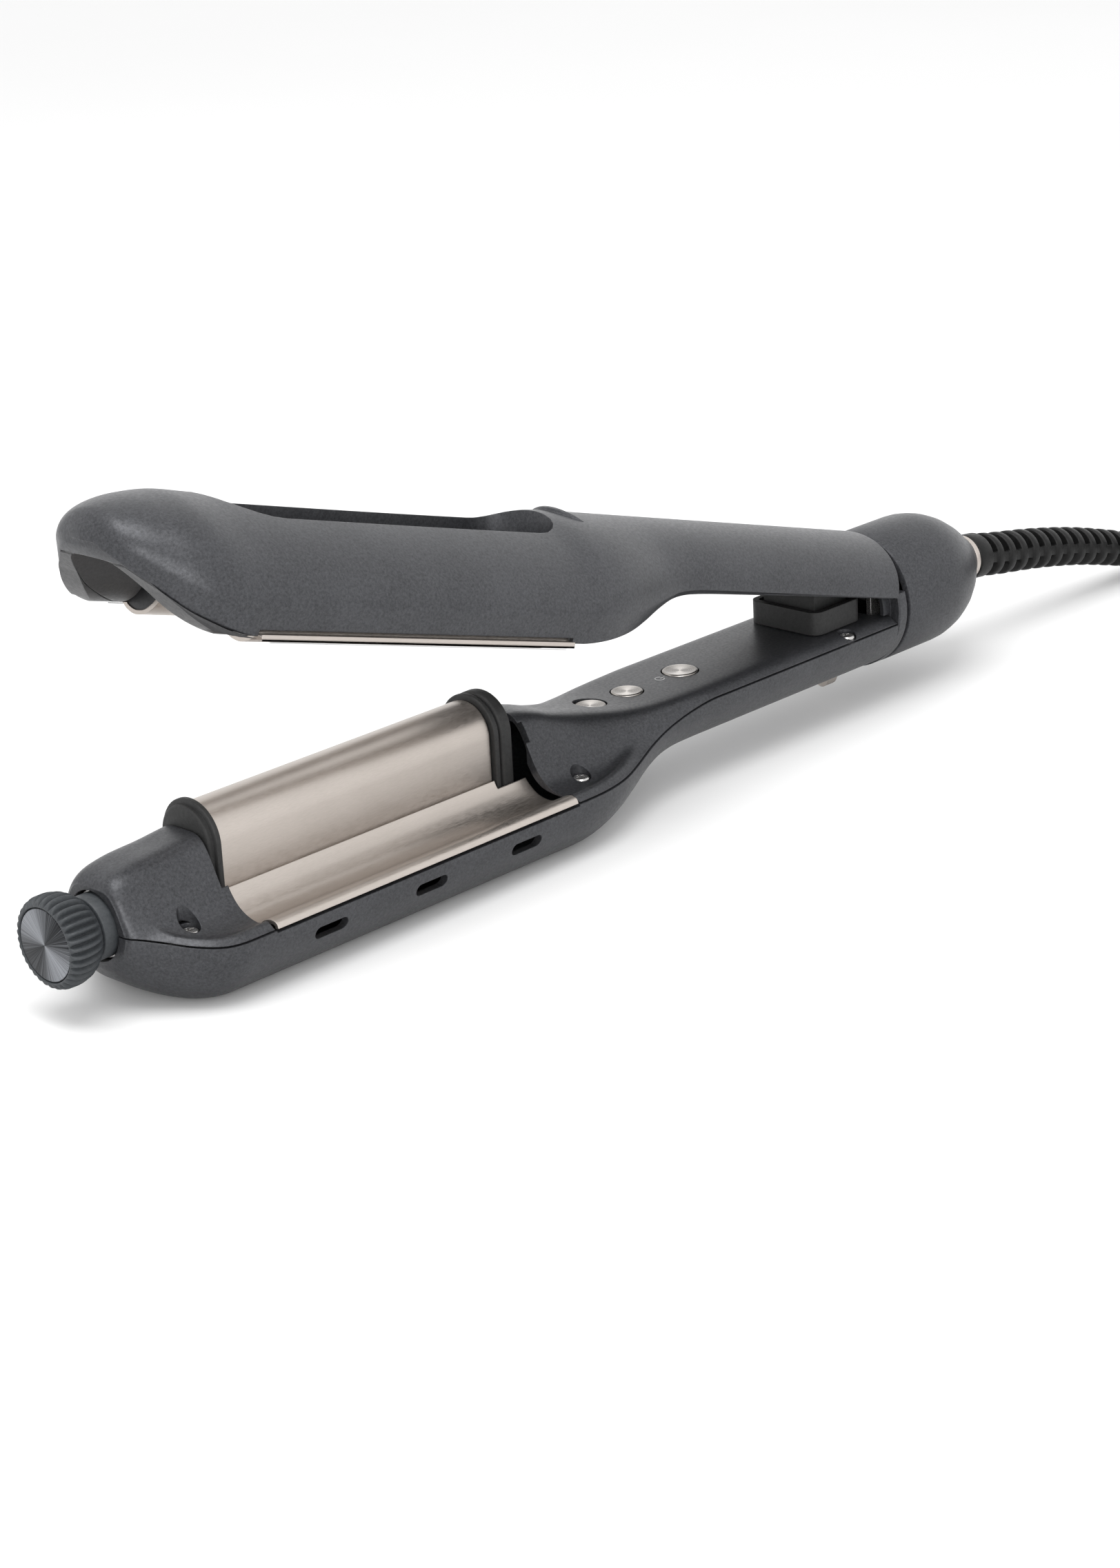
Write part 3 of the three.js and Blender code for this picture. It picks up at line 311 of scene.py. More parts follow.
def skin(name, rings, loop=False):
    """A closed body through rings of (x, y, z) points. As a loop, the last ring meets the first."""
    size, rows = len(rings[0]), len(rings)
    faces = []
    for i in range(rows if loop else rows - 1):
        a, b = i * size, (i + 1) % rows * size
        faces += [(a + j, a + (j + 1) % size, b + (j + 1) % size, b + j) for j in range(size)]
    if not loop:
        faces += [tuple(reversed(range(size))), tuple(range((rows - 1) * size, rows * size))]
    return outward(mesh_object(name, [point for ring in rings for point in ring], faces))


def loft(name, stations, ring_at):
    """A closed body through one ring of (y, z) points at each x."""
    return skin(name, [[(x, y, z) for y, z in ring_at(x)] for x in stations])


def prism(name, outline, axis, low, high):
    """An outline of (u, v) points drawn along an axis: X takes (y, z), Y takes (x, z), Z takes (x, y)."""
    order = {"X": (2, 0, 1), "Y": (0, 2, 1), "Z": (0, 1, 2)}[axis]
    return skin(name, [[tuple((u, v, w)[k] for k in order) for u, v in outline] for w in (low, high)])


def block(name, x, y, z):
    """A box from (low, high) pairs. One number for y is the half width of a box centred across the arm."""
    low, high = y if isinstance(y, tuple) else (-y, y)
    return prism(name, [(x[0], low), (x[1], low), (x[1], high), (x[0], high)], "Z", *z)


def turned(name, profile, centre=(0, 0, 0), axis="X", sides=96, radius_at=None):
    """A closed turned body from (along, radius) points that start and end on the axis, or make a loop."""
    on_axis = profile[0][1] == 0 and profile[-1][1] == 0
    rings = []
    for k, (along, radius) in enumerate(profile[1:-1] if on_axis else profile):
        rings.append([])
        for j in range(sides):
            a = 2 * math.pi * j / sides
            r = radius_at(k, radius, a) if radius_at else radius
            u, v = r * math.cos(a), r * math.sin(a)
            rings[-1].append(Vector((along, u, v) if axis == "X" else (u, v, along)) + Vector(centre))
    return skin(name, rings, loop=not on_axis)


def rod(name, radius, low, high, at, axis="Z", sides=48):
    profile = [(low, 0), (low, radius), (high, radius), (high, 0)]
    centre = (0, *at) if axis == "X" else (*at, 0)
    return turned(name, profile, centre, axis, sides)


def combined(piece, tools, operation, keep=False):
    """Works each tool into a piece in turn, and discards the tools unless they are kept."""
    for tool in tools:
        step = piece.modifiers.new("step", "BOOLEAN")
        step.operation, step.object, step.solver = operation, tool, "MANIFOLD"
        bpy.context.view_layer.update()
        graph = bpy.context.evaluated_depsgraph_get()
        result = bpy.data.meshes.new_from_object(piece.evaluated_get(graph))
        piece.modifiers.clear()
        piece.data = result
        if not keep:
            bpy.data.objects.remove(tool)
    return piece


def cut(piece, *tools, keep=False):
    return combined(piece, tools, "DIFFERENCE", keep)


def joined(piece, *tools):
    return combined(piece, tools, "UNION")


def common(piece, *tools):
    return combined(piece, tools, "INTERSECT")


def copy_of(piece, name):
    return in_scene(name, piece.data.copy())


# Points closer than MERGE_DISTANCE become one, and faces thinner than SLIVER_LENGTH go.
MERGE_DISTANCE = 0.004
SLIVER_LENGTH = 0.002


def settle(piece, body, material, nodes=(), sharp=32):
    """Moves a finished piece to the row frame, gives it its finish, hides the CAD parts it stands for, and
    hangs it on its body.
    """
    work = bmesh.new()
    work.from_mesh(piece.data)
    bmesh.ops.remove_doubles(work, verts=work.verts, dist=MERGE_DISTANCE)
    bmesh.ops.dissolve_degenerate(work, edges=work.edges, dist=SLIVER_LENGTH)
    work.to_mesh(piece.data)
    work.free()
    if body == "upper_arm":
        piece.data.transform(OPENED)
    piece.data.transform(TO_ROW)
    piece.data.shade_smooth()
    piece.data.set_sharp_from_angle(angle=math.radians(sharp))
    piece.data.materials.clear()
    piece.data.materials.append(material)
    if nodes:
        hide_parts(*nodes)
    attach(piece, body)
    return piece


def centred(piece, at):
    """Puts a piece's origin at a point of the row frame, for finishes that turn about it."""
    piece.data.transform(Matrix.Translation(-at))
    piece.matrix_world = Matrix.Translation(at)


def track(keys):
    """A smooth curve through (x, value) keys, flat beyond its ends, as in the CAD source."""
    slopes = []
    for i, (x, v) in enumerate(keys):
        a, b = keys[max(i - 1, 0)], keys[min(i + 1, len(keys) - 1)]
        rising = (v - a[1]) * (b[1] - v)
        slopes.append((b[1] - a[1]) / (b[0] - a[0]) if rising > 0 else 0.0)

    def value(x):
        if x <= keys[0][0]:
            return keys[0][1]
        if x >= keys[-1][0]:
            return keys[-1][1]
        i = next(k for k, key in enumerate(keys) if key[0] > x) - 1
        step = keys[i + 1][0] - keys[i][0]
        t = (x - keys[i][0]) / step
        bend = t * (1 - t) * ((1 - t) * slopes[i] - t * slopes[i + 1]) * step
        return keys[i][1] + (keys[i + 1][1] - keys[i][1]) * t * t * (3 - 2 * t) + bend

    return value


def span(low, high, step):
    """Even stations from low to high, about a step apart."""
    count = max(1, round((high - low) / step))
    return [low + (high - low) * i / count for i in range(count + 1)]


def mirrored(right, on_axis=False):
    """A ring from its right half and its mirror image, which share a last point on the axis."""
    return right + [(-y, z) for y, z in reversed(right[:-1] if on_axis else right)]


def arc(centre, radius, start, stop, steps):
    """Points (u, v) round a centre, from one angle in degrees to another."""
    angles = [math.radians(start + (stop - start) * i / steps) for i in range(steps + 1)]
    return [(centre[0] + radius * math.cos(a), centre[1] + radius * math.sin(a)) for a in angles]


# ---------- outline of the lower arm ----------
# GAP is the play between pieces that meet, and WIDE reaches past both sides of the arm.
GAP = 0.3
WIDE = 40
WALL = 2.0
HALF_WIDTH = 27.1
DECK_Z = 5.9
PLATE_X = (43, 139)
lower_half = track([
    (13.8, 10.4), (14.4, 11.8), (17, 14.3), (20, 17.4), (24, 21.9), (28, 25.2), (33, 26.9),
    (38, HALF_WIDTH), (143, HALF_WIDTH), (150, 26.6), (158, 25), (166, 22.4), (174, 19.8), (182, 18.2),
    (192, 17.6)
])
lower_bottom = track([
    (13.8, -8.6), (14.6, -10.4), (18, -14.2), (23.5, -17.4), (30, -19.1), (36, FLOOR_Z), (145, FLOOR_Z),
    (151, -19.1), (158.6, -17.8), (166, -15.8), (174, -13.2), (183, -11), (194, -10.13)
])
lower_top = track([
    (13.8, 8.9), (14.4, 10), (15.5, 11), (17.5, 11.9), (20, 12.5), (24, 13.1), (32, 13.6), (40, 14.4),
    (43, 14.5), (138, 14.2), (143, 13.8), (148, 12.6), (154, 10.6), (162, 8.6), (170, 7.1), (178, 6.2),
    (188, DECK_Z)
])
seam = track([
    (13.8, -0.5), (18, -1.4), (24, -3.1), (32, -4), (150, -4), (163, -3.2), (184, 1.4), (197, 3.5),
    (206, 3.7)
])
arch_half = track([(13.8, 11), (143, 11), (150, 11.6), (160, 14), (172, 16.2), (186, 16.8)])
arch_power = track([(143, 5), (160, 4.5), (172, 7), (190, 14)])
bottom_corner = track([(13.8, 10.4), (20, 13), (34, 14), (143, 14), (166, 16), (186, 17.6)])
rim_height = track([(17, 0), (24, 1.2), (34, 1.5), (146, 1.5), (160, 1.3), (176, 0)])


def bell(y, half, power):
    """1 on the middle line, a half at half, and falling to 0 beyond."""
    return 1 / (1 + (abs(y) / half) ** power)


def cover_height(x, y, inset=0.0):
    """The top of the lower covers: an arch over the barrel, with a raised rim along each side."""
    half, base, power = lower_half(x) - inset, seam(x), arch_power(x)
    reach = arch_half(x) - inset
    edge = bell(half, reach, power)
    rise = (bell(y, reach, power) - edge) / (1 - edge)
    rim = 0 if inset else rim_height(x) * math.exp(-(((half - 2.7 - abs(y)) / 1.9) ** 2))
    close = math.sqrt(max(0.0, 1 - (abs(y) / half) ** 30))
    return base + (lower_top(x) - inset - base) * rise + rim * close


def lower_ring(x, inset=0.0, steps=20, across=64):
    """The lower arm's section: a rounded hull up to the seam, and the cover's top above it."""
    half = lower_half(x) - inset
    corner = min(bottom_corner(x) - inset, half)
    bottom, base = lower_bottom(x) + inset, seam(x)
    right = [((half - corner) / 2, bottom)]
    for i in range(steps):
        a = math.pi / 2 * i / steps
        right.append((half - corner + corner * math.sin(a), base - (base - bottom) * math.cos(a)))
    for i in range(across):
        share = 1 - (i / across) ** 1.25
        right.append((half * share, cover_height(x, half * share, inset)))
    return mirrored(right)


# FINE_X are the outer skin's stations and COARSE_X the hollow's.
FINE_X = (span(13.8, 15, 0.15) + span(15.4, 24, 0.4) + span(24.8, 42.6, 0.9) + span(45, 138, 8)
          + span(139.5, 206, 0.95) + span(214, 274.6, 8))
COARSE_X = [16.5, 20, 24, 29, 36, 143, 151, 160, 170, 182, 196, 276]


def seam_side(below, gap=0.2):
    """All that lies under the seam between shell and covers, or above it."""
    rear, reach = 300, 60
    xs = [0] + span(13.8, 40, 1.3) + span(150, 206, 1.6) + [rear]
    edge = [(x, seam(x) + (-gap if below else gap)) for x in xs]
    far = -reach if below else reach
    return prism("seam_tool", [(0, far)] + edge + [(rear, far)], "Y", -reach, reach)


def stadium(x, z, length, height, steps=12):
    """A slot's outline with round ends."""
    r, reach = height / 2, (length - height) / 2
    return arc((x + reach, z), r, -90, 90, steps) + arc((x - reach, z), r, 90, 270, steps)


# ---------- places that pieces of the lower arm share ----------
# A pair of screws is x, y, the top of its heads and its length. A button is x and its radius.
SCREWS = {"tip_screw": (28.4, 14.4, -2.2, 7.0), "middle_screw": (150.6, 17.0, -2.5, 7.0),
          "hinge_screw": (256.5, 14.5, 5.1, 3.8)}
SIDES = {"near": -1, "far": 1}
BUTTONS = {"down": (172.8, 4.12), "up": (186.5, 4.12), "power": (206.7, 4.67)}
BUTTON_TOP = 6.25
FLANGE_HALF = 9.2
SHROUD = {"x": (247.7, 267.0), "half": 11.6, "top": 12.4, "wall": 1.6, "corner": 3.0}
LOCK = {"x": 265.2, "half": 1.9, "grooves": (-1, 0, 1)}
# The room round a screw's head, as height above the head's top, and radius.
WELL = [(-1.7, 0), (-1.7, 2.5), (5.2, 2.5), (6.2, 2.9), (8, 2.9), (8, 0)]


def screw_wells(name):
    x, y, top, _ = SCREWS[name]
    profile = [(top + rise, radius) for rise, radius in WELL]
    return [turned("well", profile, (x, side * y, 0), "Z", 48) for side in SIDES.values()]


def rounded_rect(x0, x1, half, corner, steps=10):
    corners = [(x1 - corner, half - corner, 0), (x0 + corner, half - corner, 90),
               (x0 + corner, corner - half, 180), (x1 - corner, corner - half, 270)]
    return [p for cx, cy, a in corners for p in arc((cx, cy), corner, a, a + 90, steps)]


# ---------- lower shell and covers ----------
BOSS_R = 3.7
NECK_ROOM_R = 8.2
VENTS = {"x": (59, 90.3, 121.6), "z": -9.1, "length": 10, "height": 3}
BAY_X = (PLATE_X[0] - 0.5, PLATE_X[1] + 0.5)


def build_lower():
    """The shell, the tip cover and the deck cover, parted along the seam, with bosses under the screws."""
    outer = loft("outer", FINE_X, lower_ring)
    inner = loft("inner", COARSE_X, lambda x: lower_ring(x, WALL, 8, 24))
    bosses = [rod("boss", BOSS_R, top - 3.4, top + 0.6, (x, side * y))
              for x, y, top, _ in SCREWS.values() for side in SIDES.values()]
    under = loft("under", COARSE_X[:-1] + [274.0], lambda x: lower_ring(x, 0.6, 8, 24))
    neck = rod("neck", NECK_ROOM_R, 10, 21, (0, 0), "X", 96)
    posts = common(joined(*bosses), under)
    hull = cut(outer, inner)

    shell = common(copy_of(hull, "lower_shell_fine"), seam_side(True))
    vent = VENTS["length"], VENTS["height"]
    vents = [prism("vent", stadium(x, VENTS["z"], *vent), "Y", -WIDE, WIDE) for x in VENTS["x"]]
    cut(shell, *vents, copy_of(neck, "neck"), block("bay", BAY_X, WIDE, (-4.65, 30)),
        block("seat", BAY_X, 25.4, (-7, 0)), block("lock", (LOCK["x"] - 2, LOCK["x"] + 6), 1.6, (-14, 0)))

    covers = common(joined(hull, posts), seam_side(False))
    tip = common(copy_of(covers, "lower_tip_cover_fine"), block("tip_room", (0, 42.2), WIDE, (-40, 40)))
    cut(tip, *screw_wells("tip_screw"), neck, block("room", (40.4, 50), 12, (-3, 40)),
        block("room", (40.4, 50), FLANGE_HALF + 0.6, (-40, 0)))

    deck = common(covers, block("deck_room", (139.8, 290), WIDE, (-40, 40)))
    deck.name = "lower_deck_cover_fine"
    holes = [rod("hole", r + GAP, 0, 12, (x, 0), "Z", 64) for x, r in BUTTONS.values()]
    low, high = SHROUD["x"]
    shroud_hole = rounded_rect(low + 1, high - 1, SHROUD["half"] - 1, SHROUD["corner"] - 1)
    cut(deck, *screw_wells("middle_screw"), *screw_wells("hinge_screw"), *holes,
        prism("hole", shroud_hole, "Z", 0, 20),
        block("flange_room", (138, 141.2), FLANGE_HALF + 0.5, (-30, 12.2)),
        block("collar_room", (271.6, 280), 11.2, (0, 20)))
    for piece, node in (shell, "lower_shell"), (tip, "lower_tip_cover"), (deck, "lower_deck_cover"):
        settle(piece, "lower_arm", GRAPHITE, [node])


# ---------- waves, barrel and flanges ----------
# TROUGH is the near wave plate's top, from the barrel outwards, as (y, z) points of a smooth line.
TROUGH = [(8.7, 0.9), (9.5, -0.6), (11.3, -2.6), (14, -4.4), (17.5, -5), (20.5, -4.2), (22.6, -2.8),
          (24.9, -2.2), (26.5, -2.7), (27, -3.8)]
PLATE_SPACING = 0.5
BARREL = {"x": (44.3, 129.7), "half": 7.95, "centre": 11.5, "bottom": -4.0, "wall": 1.4}
FLANGE_X = {"tip": (41, 44), "rear": (130, 136)}


def fine_line(points, steps=8):
    """A rounded line through the points of a coarse one."""
    ends = [points[0]] + points + [points[-1]]
    line = []
    for i in range(1, len(ends) - 2):
        a, b, c, d = ends[i - 1:i + 3]
        for k in range(steps):
            t = k / steps
            line.append(tuple(0.5 * (2 * q + (r - p) * t + (2 * p - 5 * q + 4 * r - s) * t * t
                                     + (3 * q - p - 3 * r + s) * t ** 3) for p, q, r, s in zip(a, b, c, d)))
    return line + [points[-1]]


def line_below(points, distance):
    """The line moved sideways by a distance, to the right of the way it runs."""
    line = []
    for i, (y, z) in enumerate(points):
        a, b = points[max(i - 1, 0)], points[min(i + 1, len(points) - 1)]
        length = math.hypot(b[0] - a[0], b[1] - a[1])
        line.append((y + (b[1] - a[1]) / length * distance, z - (b[0] - a[0]) / length * distance))
    return line


def strip_of(points, thickness):
    return points + list(reversed(line_below(points, thickness)))


def flange_room():
    low, high = FLANGE_X["tip"][1] + GAP * 2, FLANGE_X["rear"][0] - GAP * 2
    spans = (PLATE_X[0] - 1, low), (high, PLATE_X[1] + 1)
    return [block("room", x, FLANGE_HALF + 0.5, (-20, 20)) for x in spans]


def build_troughs():
    wave = fine_line(TROUGH)
    for side, sign in SIDES.items():
        outline = [(sign * y, z) for y, z in strip_of(wave, 1.0)]
        plate = cut(prism(f"trough_wave_{side}", outline, "X", *PLATE_X), *flange_room())
        settle(plate, "lower_arm", CHAMPAGNE, [f"trough_plate_{side}"], sharp=40)


def arch(half, centre, bottom, steps=56):
    return [(-half, bottom), (half, bottom)] + arc((0, centre), half, 0, 180, steps)


def rounded_ends(low, high, radius, steps=5):
    """Stations with the inset each needs for a rounded end."""
    angles = [math.pi / 2 * i / steps for i in range(steps + 1)]
    ends = [(radius * (1 - math.cos(a)), radius * (1 - math.sin(a))) for a in angles]
    return [(low + d, inset) for d, inset in ends] + [(high - d, inset) for d, inset in reversed(ends)]


def arch_body(name, keys, half, bottom):
    insets = dict(keys)
    return loft(name, list(insets), lambda x: arch(half - insets[x], BARREL["centre"], bottom))


def build_barrel():
    """The arch, and a rounded rubber flange at each end. The rear one has a groove round it."""
    half, bottom = BARREL["half"], BARREL["bottom"]
    barrel = arch_body("barrel_arch", rounded_ends(*BARREL["x"], 0.5), half, bottom)
    hollow = prism("hollow", arch(half - BARREL["wall"], BARREL["centre"], bottom - 1), "X", 0, 200)
    settle(cut(barrel, hollow), "barrel_lift", CHAMPAGNE, ["barrel"])
    tip = [(41, 1.9), (41.1, 1.5), (41.35, 1.2), (42.3, 1.15), (42.35, 0.55), (42.5, 0.2), (42.8, 0),
           (43.6, 0), (43.85, 0.2), (44, 0.5)]
    x0, x1 = FLANGE_X["rear"]
    rear = rounded_ends(x0, x0 + 1.5, 0.5) + [(x0 + 1.55, 1.0), (x0 + 2.15, 1.0)]
    rear += rounded_ends(x0 + 2.2, x1, 0.9)
    for end, keys in ("tip", tip), ("rear", rear):
        flange = arch_body(f"flange_{end}_round", keys, FLANGE_HALF, bottom - 1)
        settle(flange, "barrel_lift", RUBBER, [f"barrel_flange_{end}"])


# ---------- knob ----------
KNOB = {"grooves": 34, "depth": 1.25}


def build_knob():
    """The grooved knob, its sunk disc and its neck."""
    # Each point is x, radius and the share of the grooves' depth.
    profile = [(0.95, 0, 0), (0.95, 8.5, 0), (0.2, 8.6, 0), (0.02, 8.75, 0), (0.0, 8.95, 0.05),
               (0.1, 9.35, 0.3), (0.4, 9.8, 0.7), (0.9, 10.2, 1), (1.6, 10.5, 1), (2.6, 10.68, 1),
               (3.8, 10.7, 1), (5.0, 10.6, 1), (6.2, 10.35, 1), (7.3, 9.95, 1), (8.3, 9.35, 0.9),
               (9.1, 8.7, 0.65), (9.8, 8.0, 0.3), (10.3, 7.3, 0), (10.5, 6.7, 0), (10.5, 0, 0)]
    weights = [w for _, _, w in profile[1:-1]]

    def grooved(k, radius, angle):
        wave = 0.5 - 0.5 * math.cos(KNOB["grooves"] * angle)
        return radius - KNOB["depth"] * weights[k] * (1 - wave ** 0.7)

    outline = [(x, r) for x, r, _ in profile]
    knob = turned("knob_grooved", outline, sides=KNOB["grooves"] * 12, radius_at=grooved)
    settle(knob, "knob_turn", KNOB_RUBBER, ["knob"], sharp=50)
    face = [(0.6, 0), (0.6, 8.1), (0.5, 8.3), (0.35, 8.35), (0.2, 8.2), (0.14, 7.9), (0.1, 0)]
    disc = turned("knob_sunburst", face, sides=128)
    centred(settle(disc, "knob_turn", SUNBURST, ["knob_disc"]), row(0, 0, 0))
    neck = [(10.8, 0), (10.8, 6.9), (11.0, 7.3), (11.4, 7.5), (15.2, 7.5), (15.2, 3), (35, 3), (35, 0)]
    settle(turned("knob_neck", neck), "knob_turn", KNOB_RUBBER, ["knob_shaft"])


# ---------- buttons, their marks and the screws ----------
def build_buttons():
    top = BUTTON_TOP
    for name, (x, r) in BUTTONS.items():
        profile = [(2.2, 0), (2.2, r + 1.1), (3.2, r + 1.1), (3.2, r), (top - 0.45, r), (top - 0.2, r - 0.08),
                   (top - 0.03, r - 0.3), (top, r - 0.55), (top - 0.08, r - 0.9), (top - 0.2, r * 0.45),
                   (top - 0.24, 0)]
        button = turned(f"button_{name}_turned", profile, (x, 0, 0), "Z", 96)
        settle(button, f"key_{name}", BUTTON, [f"button_{name}"])
        centred(button, row(x, 0, top))


MARKS = {"minus": 165.6, "plus": 179.7, "power": 198.9}
STROKE = 0.3


def ink(name, outline):
    piece = prism(name, outline, "Z", DECK_Z - 0.02, DECK_Z + 0.05)
    settle(piece, "lower_arm", INK, sharp=30)


def bar(x, length, along):
    """A stroke on the deck's middle line, along the arm or across it."""
    u, v = (length / 2, STROKE / 2) if along else (STROKE / 2, length / 2)
    return [(x - u, -v), (x + u, -v), (x + u, v), (x - u, v)]


def build_marks():
    power, plus = MARKS["power"], MARKS["plus"]
    outer, inner = (arc((power, 0), radius, 35, 325, 28) for radius in (1.35, 1.05))
    ink("mark_power_ring", outer + inner[::-1])
    ink("mark_power_bar", bar(power + 1.0, 1.5, True))
    ink("mark_minus", bar(MARKS["minus"], 1.9, False))
    ink("mark_plus_across", bar(plus, 1.9, False))
    ink("mark_plus_along_1", bar(plus - 0.55, 0.75, True))
    ink("mark_plus_along_2", bar(plus + 0.55, 0.75, True))


HEAD = [(-1.4, 1.1), (-1.4, 2.1), (-0.5, 2.1), (-0.15, 1.8), (0, 1.2), (0, 0)]
CROSS = {"half": 1.25, "width": 0.26, "depth": 0.7}


def build_screws():
    long, thin = CROSS["half"], CROSS["width"]
    for name, (x, middle, top, length) in SCREWS.items():
        profile = [(top - length, 0), (top - length, 1.1)] + [(top + rise, radius) for rise, radius in HEAD]
        for side, sign in SIDES.items():
            y = sign * middle
            screw = turned(f"{name}_head_{side}", profile, (x, y, 0), "Z", 48)
            cross = [block("slot", (x - u, x + u), (y - v, y + v), (top - CROSS["depth"], top + 1))
                     for u, v in ((long, thin), (thin, long))]
            settle(cut(screw, *cross), "lower_arm", STEEL, [f"{name}_{side}"])


# ---------- hinge, cap, ring and strain relief ----------
CAP_Z = 6.95


def build_hinge():
    """The shroud's wall, and the turned tail cap with its ring."""
    low, high = SHROUD["x"]
    half, corner, wall = SHROUD["half"], SHROUD["corner"], SHROUD["wall"]
    shroud = prism("shroud_wall", rounded_rect(low, high, half, corner), "Z", DECK_Z + GAP, SHROUD["top"])
    inner = rounded_rect(low + wall, high - wall, half - wall, corner - wall)
    settle(cut(shroud, prism("room", inner, "Z", 0, 20)), "lower_arm", RUBBER, ["hinge_shroud"])
    cap = [(279.5, 17.5), (279.7, 17.9), (280.1, 18.1), (300, 18.1), (302.6, 17.95), (305, 17.5),
           (307.4, 16.9), (309.5, 16.1), (311.6, 15.2), (313.5, 14.1), (315.6, 12.9), (317.5, 11.6),
           (319.3, 10.3), (321, 9.0), (322.6, 7.9), (323.9, 7.1), (324.5, 6.6), (324.5, 4.2), (321.5, 4.2),
           (319, 7), (313.5, 11.9), (300, 16.1), (279.5, 16.1)]
    tail = turned("tail_cap_turned", cap, (0, 0, CAP_Z), sides=128)
    settle(tail, "lower_arm", GRAPHITE, ["tail_cap"])
    band = [(324.8, 4.2), (324.8, 6.2), (325.0, 6.45), (325.7, 6.5), (326.6, 6.35), (327.0, 5.95),
            (327.0, 4.2)]
    ring = turned("cable_ring_turned", band, (0, 0, CAP_Z - 0.2))
    settle(ring, "lower_arm", CHAMPAGNE, ["cable_ring"])


def build_collar():
    """A turned collar with a thinner spigot. Its top is cut back to the spigot, and its front to the deck."""
    spigot = 14.9
    profile = [(271.9, 13.7), (271.9, spigot), (274.9, spigot), (274.9, 17.6), (275.2, 18.0), (278.0, 18.0),
               (278.3, 17.7), (278.3, 13.7)]
    collar = turned("hinge_collar_turned", profile, (0, 0, CAP_Z), sides=128)
    over = block("over", (274.8, 279.3), 30, (12, 40))
    cut(over, rod("spigot_room", spigot, 270, 281, (0, CAP_Z), "X", 128))
    cut(collar, over, block("deck_end", (270.9, 274.75), 20, (-20, 6.3)))
    settle(collar, "lower_arm", GRAPHITE, ["hinge_collar"])


def build_lock():
    """The travel lock: a grooved half oval under the handle, on a stem with a keeper inside."""
    x, half = LOCK["x"], LOCK["half"]
    angles = [math.radians(a) for a in range(180, 361, 6)]
    oval = [(2.6 * math.cos(a), -10.5 + 3.45 * math.sin(a)) for a in angles]
    tab = prism("lock_tab", oval, "X", x - half, x + half)
    grooves = [block("groove", (x + dx - 0.25, x + dx + 0.25), 6, (-16, -12.9)) for dx in LOCK["grooves"]]
    joined(tab, block("stem", (x - 1.6, x + 1.6), 1.2, (-11, -6)))
    joined(tab, block("keeper", (x - 4, x + 4), 3, (-7.2, -5.6)))
    settle(cut(tab, *grooves), "travel_lock", CHAMPAGNE, ["lock_slider"])


RELIEF_AXIS = track([(327.3, 6.5), (341, 4.4), (361, 1.1), (381.3, -3.2), (402.6, -9), (414, -12.5)])
RELIEF = {"x": (333.0, 413.0), "rib": (6.2, 5.3), "core": (3.7, 3.1), "count": 14, "spine": 0.28}
# One rib, as the share of its pitch and how far it is below its own top. None is the core between two ribs.
RIB = ((0.0, None), (0.45, None), (0.5, 0.5), (0.56, 0.12), (0.64, 0), (0.86, 0), (0.93, 0.12), (0.985, 0.5))


def build_relief():
    """Ribs round a tapered core, tied together by a spine along each side."""
    (x0, x1), count = RELIEF["x"], RELIEF["count"]
    pitch = (x1 - x0) / count
    keys = {327.3: (5.9, 5.9), 327.6: (6.25, 6.25), 328.1: (6.4, 6.4), 332.3: (6.4, 6.4), 332.8: (6.2, 6.2)}
    for i in range(count):
        rib, core = (first + (last - first) * (i / count) for first, last in (RELIEF["rib"], RELIEF["core"]))
        for part, below in RIB:
            radius = core if below is None else rib - below
            keys[x0 + pitch * i + pitch * part] = (radius, max(radius, rib - 0.7))
    keys[x1] = (4.6, 4.6)

    def ring(x):
        low, high = keys[x]
        turns = [(math.cos(2 * math.pi * j / 96), math.sin(2 * math.pi * j / 96)) for j in range(96)]
        radii = [high if abs(s) < RELIEF["spine"] else low for _, s in turns]
        return [(r * c, RELIEF_AXIS(x) + r * s) for r, (c, s) in zip(radii, turns)]

    settle(loft("relief_ribbed", list(keys), ring), "lower_arm", RELIEF_RUBBER, ["strain_relief"])


# ---------- upper arm, drawn closed ----------
# The slot over the barrel is SLOT_HALF each way in the shell, and CHANNEL_HALF in the liner under it.
ARM_REAR_X = 274.4
UPPER_LIP_Z = -1.2
CHANNEL_HALF = 10.6
CHANNEL_TOP = 21.6
SLOT_HALF = 12.2
upper_half = track([
    (10.6, 0.6), (10.7, 1.8), (10.85, 3), (11, 4), (11.9, 8.5), (13.4, 11.6), (16.4, 15.2), (20.4, 18.9),
    (24.3, 22.2), (28.9, 25), (33.5, 26.5), (39, HALF_WIDTH), (143, HALF_WIDTH), (150, 26.9), (157, 26.1),
    (164, 24.6), (171, 22.4), (178, 20.2), (185, 18.7), (192, 18.2)
])
upper_top = track([
    (10.6, 15.4), (10.7, 15.9), (11, 17), (11.9, 19), (13.4, 20.6), (18.4, 22.8), (24, 24.2), (31.6, 25.2),
    (42, 25), (140, 25.2), (152, 26.2)
])
crease = track([
    (11, 15), (13.4, 13.4), (16.4, 11.8), (20.4, 9.6), (24.3, 7.8), (28.9, 6.2), (35.3, 5.0), (40, 4.6),
    (140, 4.6), (150, 5.0), (160, 5.8), (170, 7.2), (178, 9), (186, 11), (200, 11.6)
])
upper_lip = track([
    (11, 13.5), (11.9, 12), (13.4, 10.4), (16.4, 8), (20.4, 5), (24.3, 2.4), (28.9, 0.4), (33.5, -1.1),
    (39.9, -2.2), (143, -2.1), (149, -1.7), (156, -0.7), (163, 0.9), (170, 3.2), (177, 6), (184, 8.5),
    (192, 9.6), (208, 10), (274, 10.6)
])
crown_power = track([(17, 2), (40, 1.75), (140, 1.75), (160, 2)])


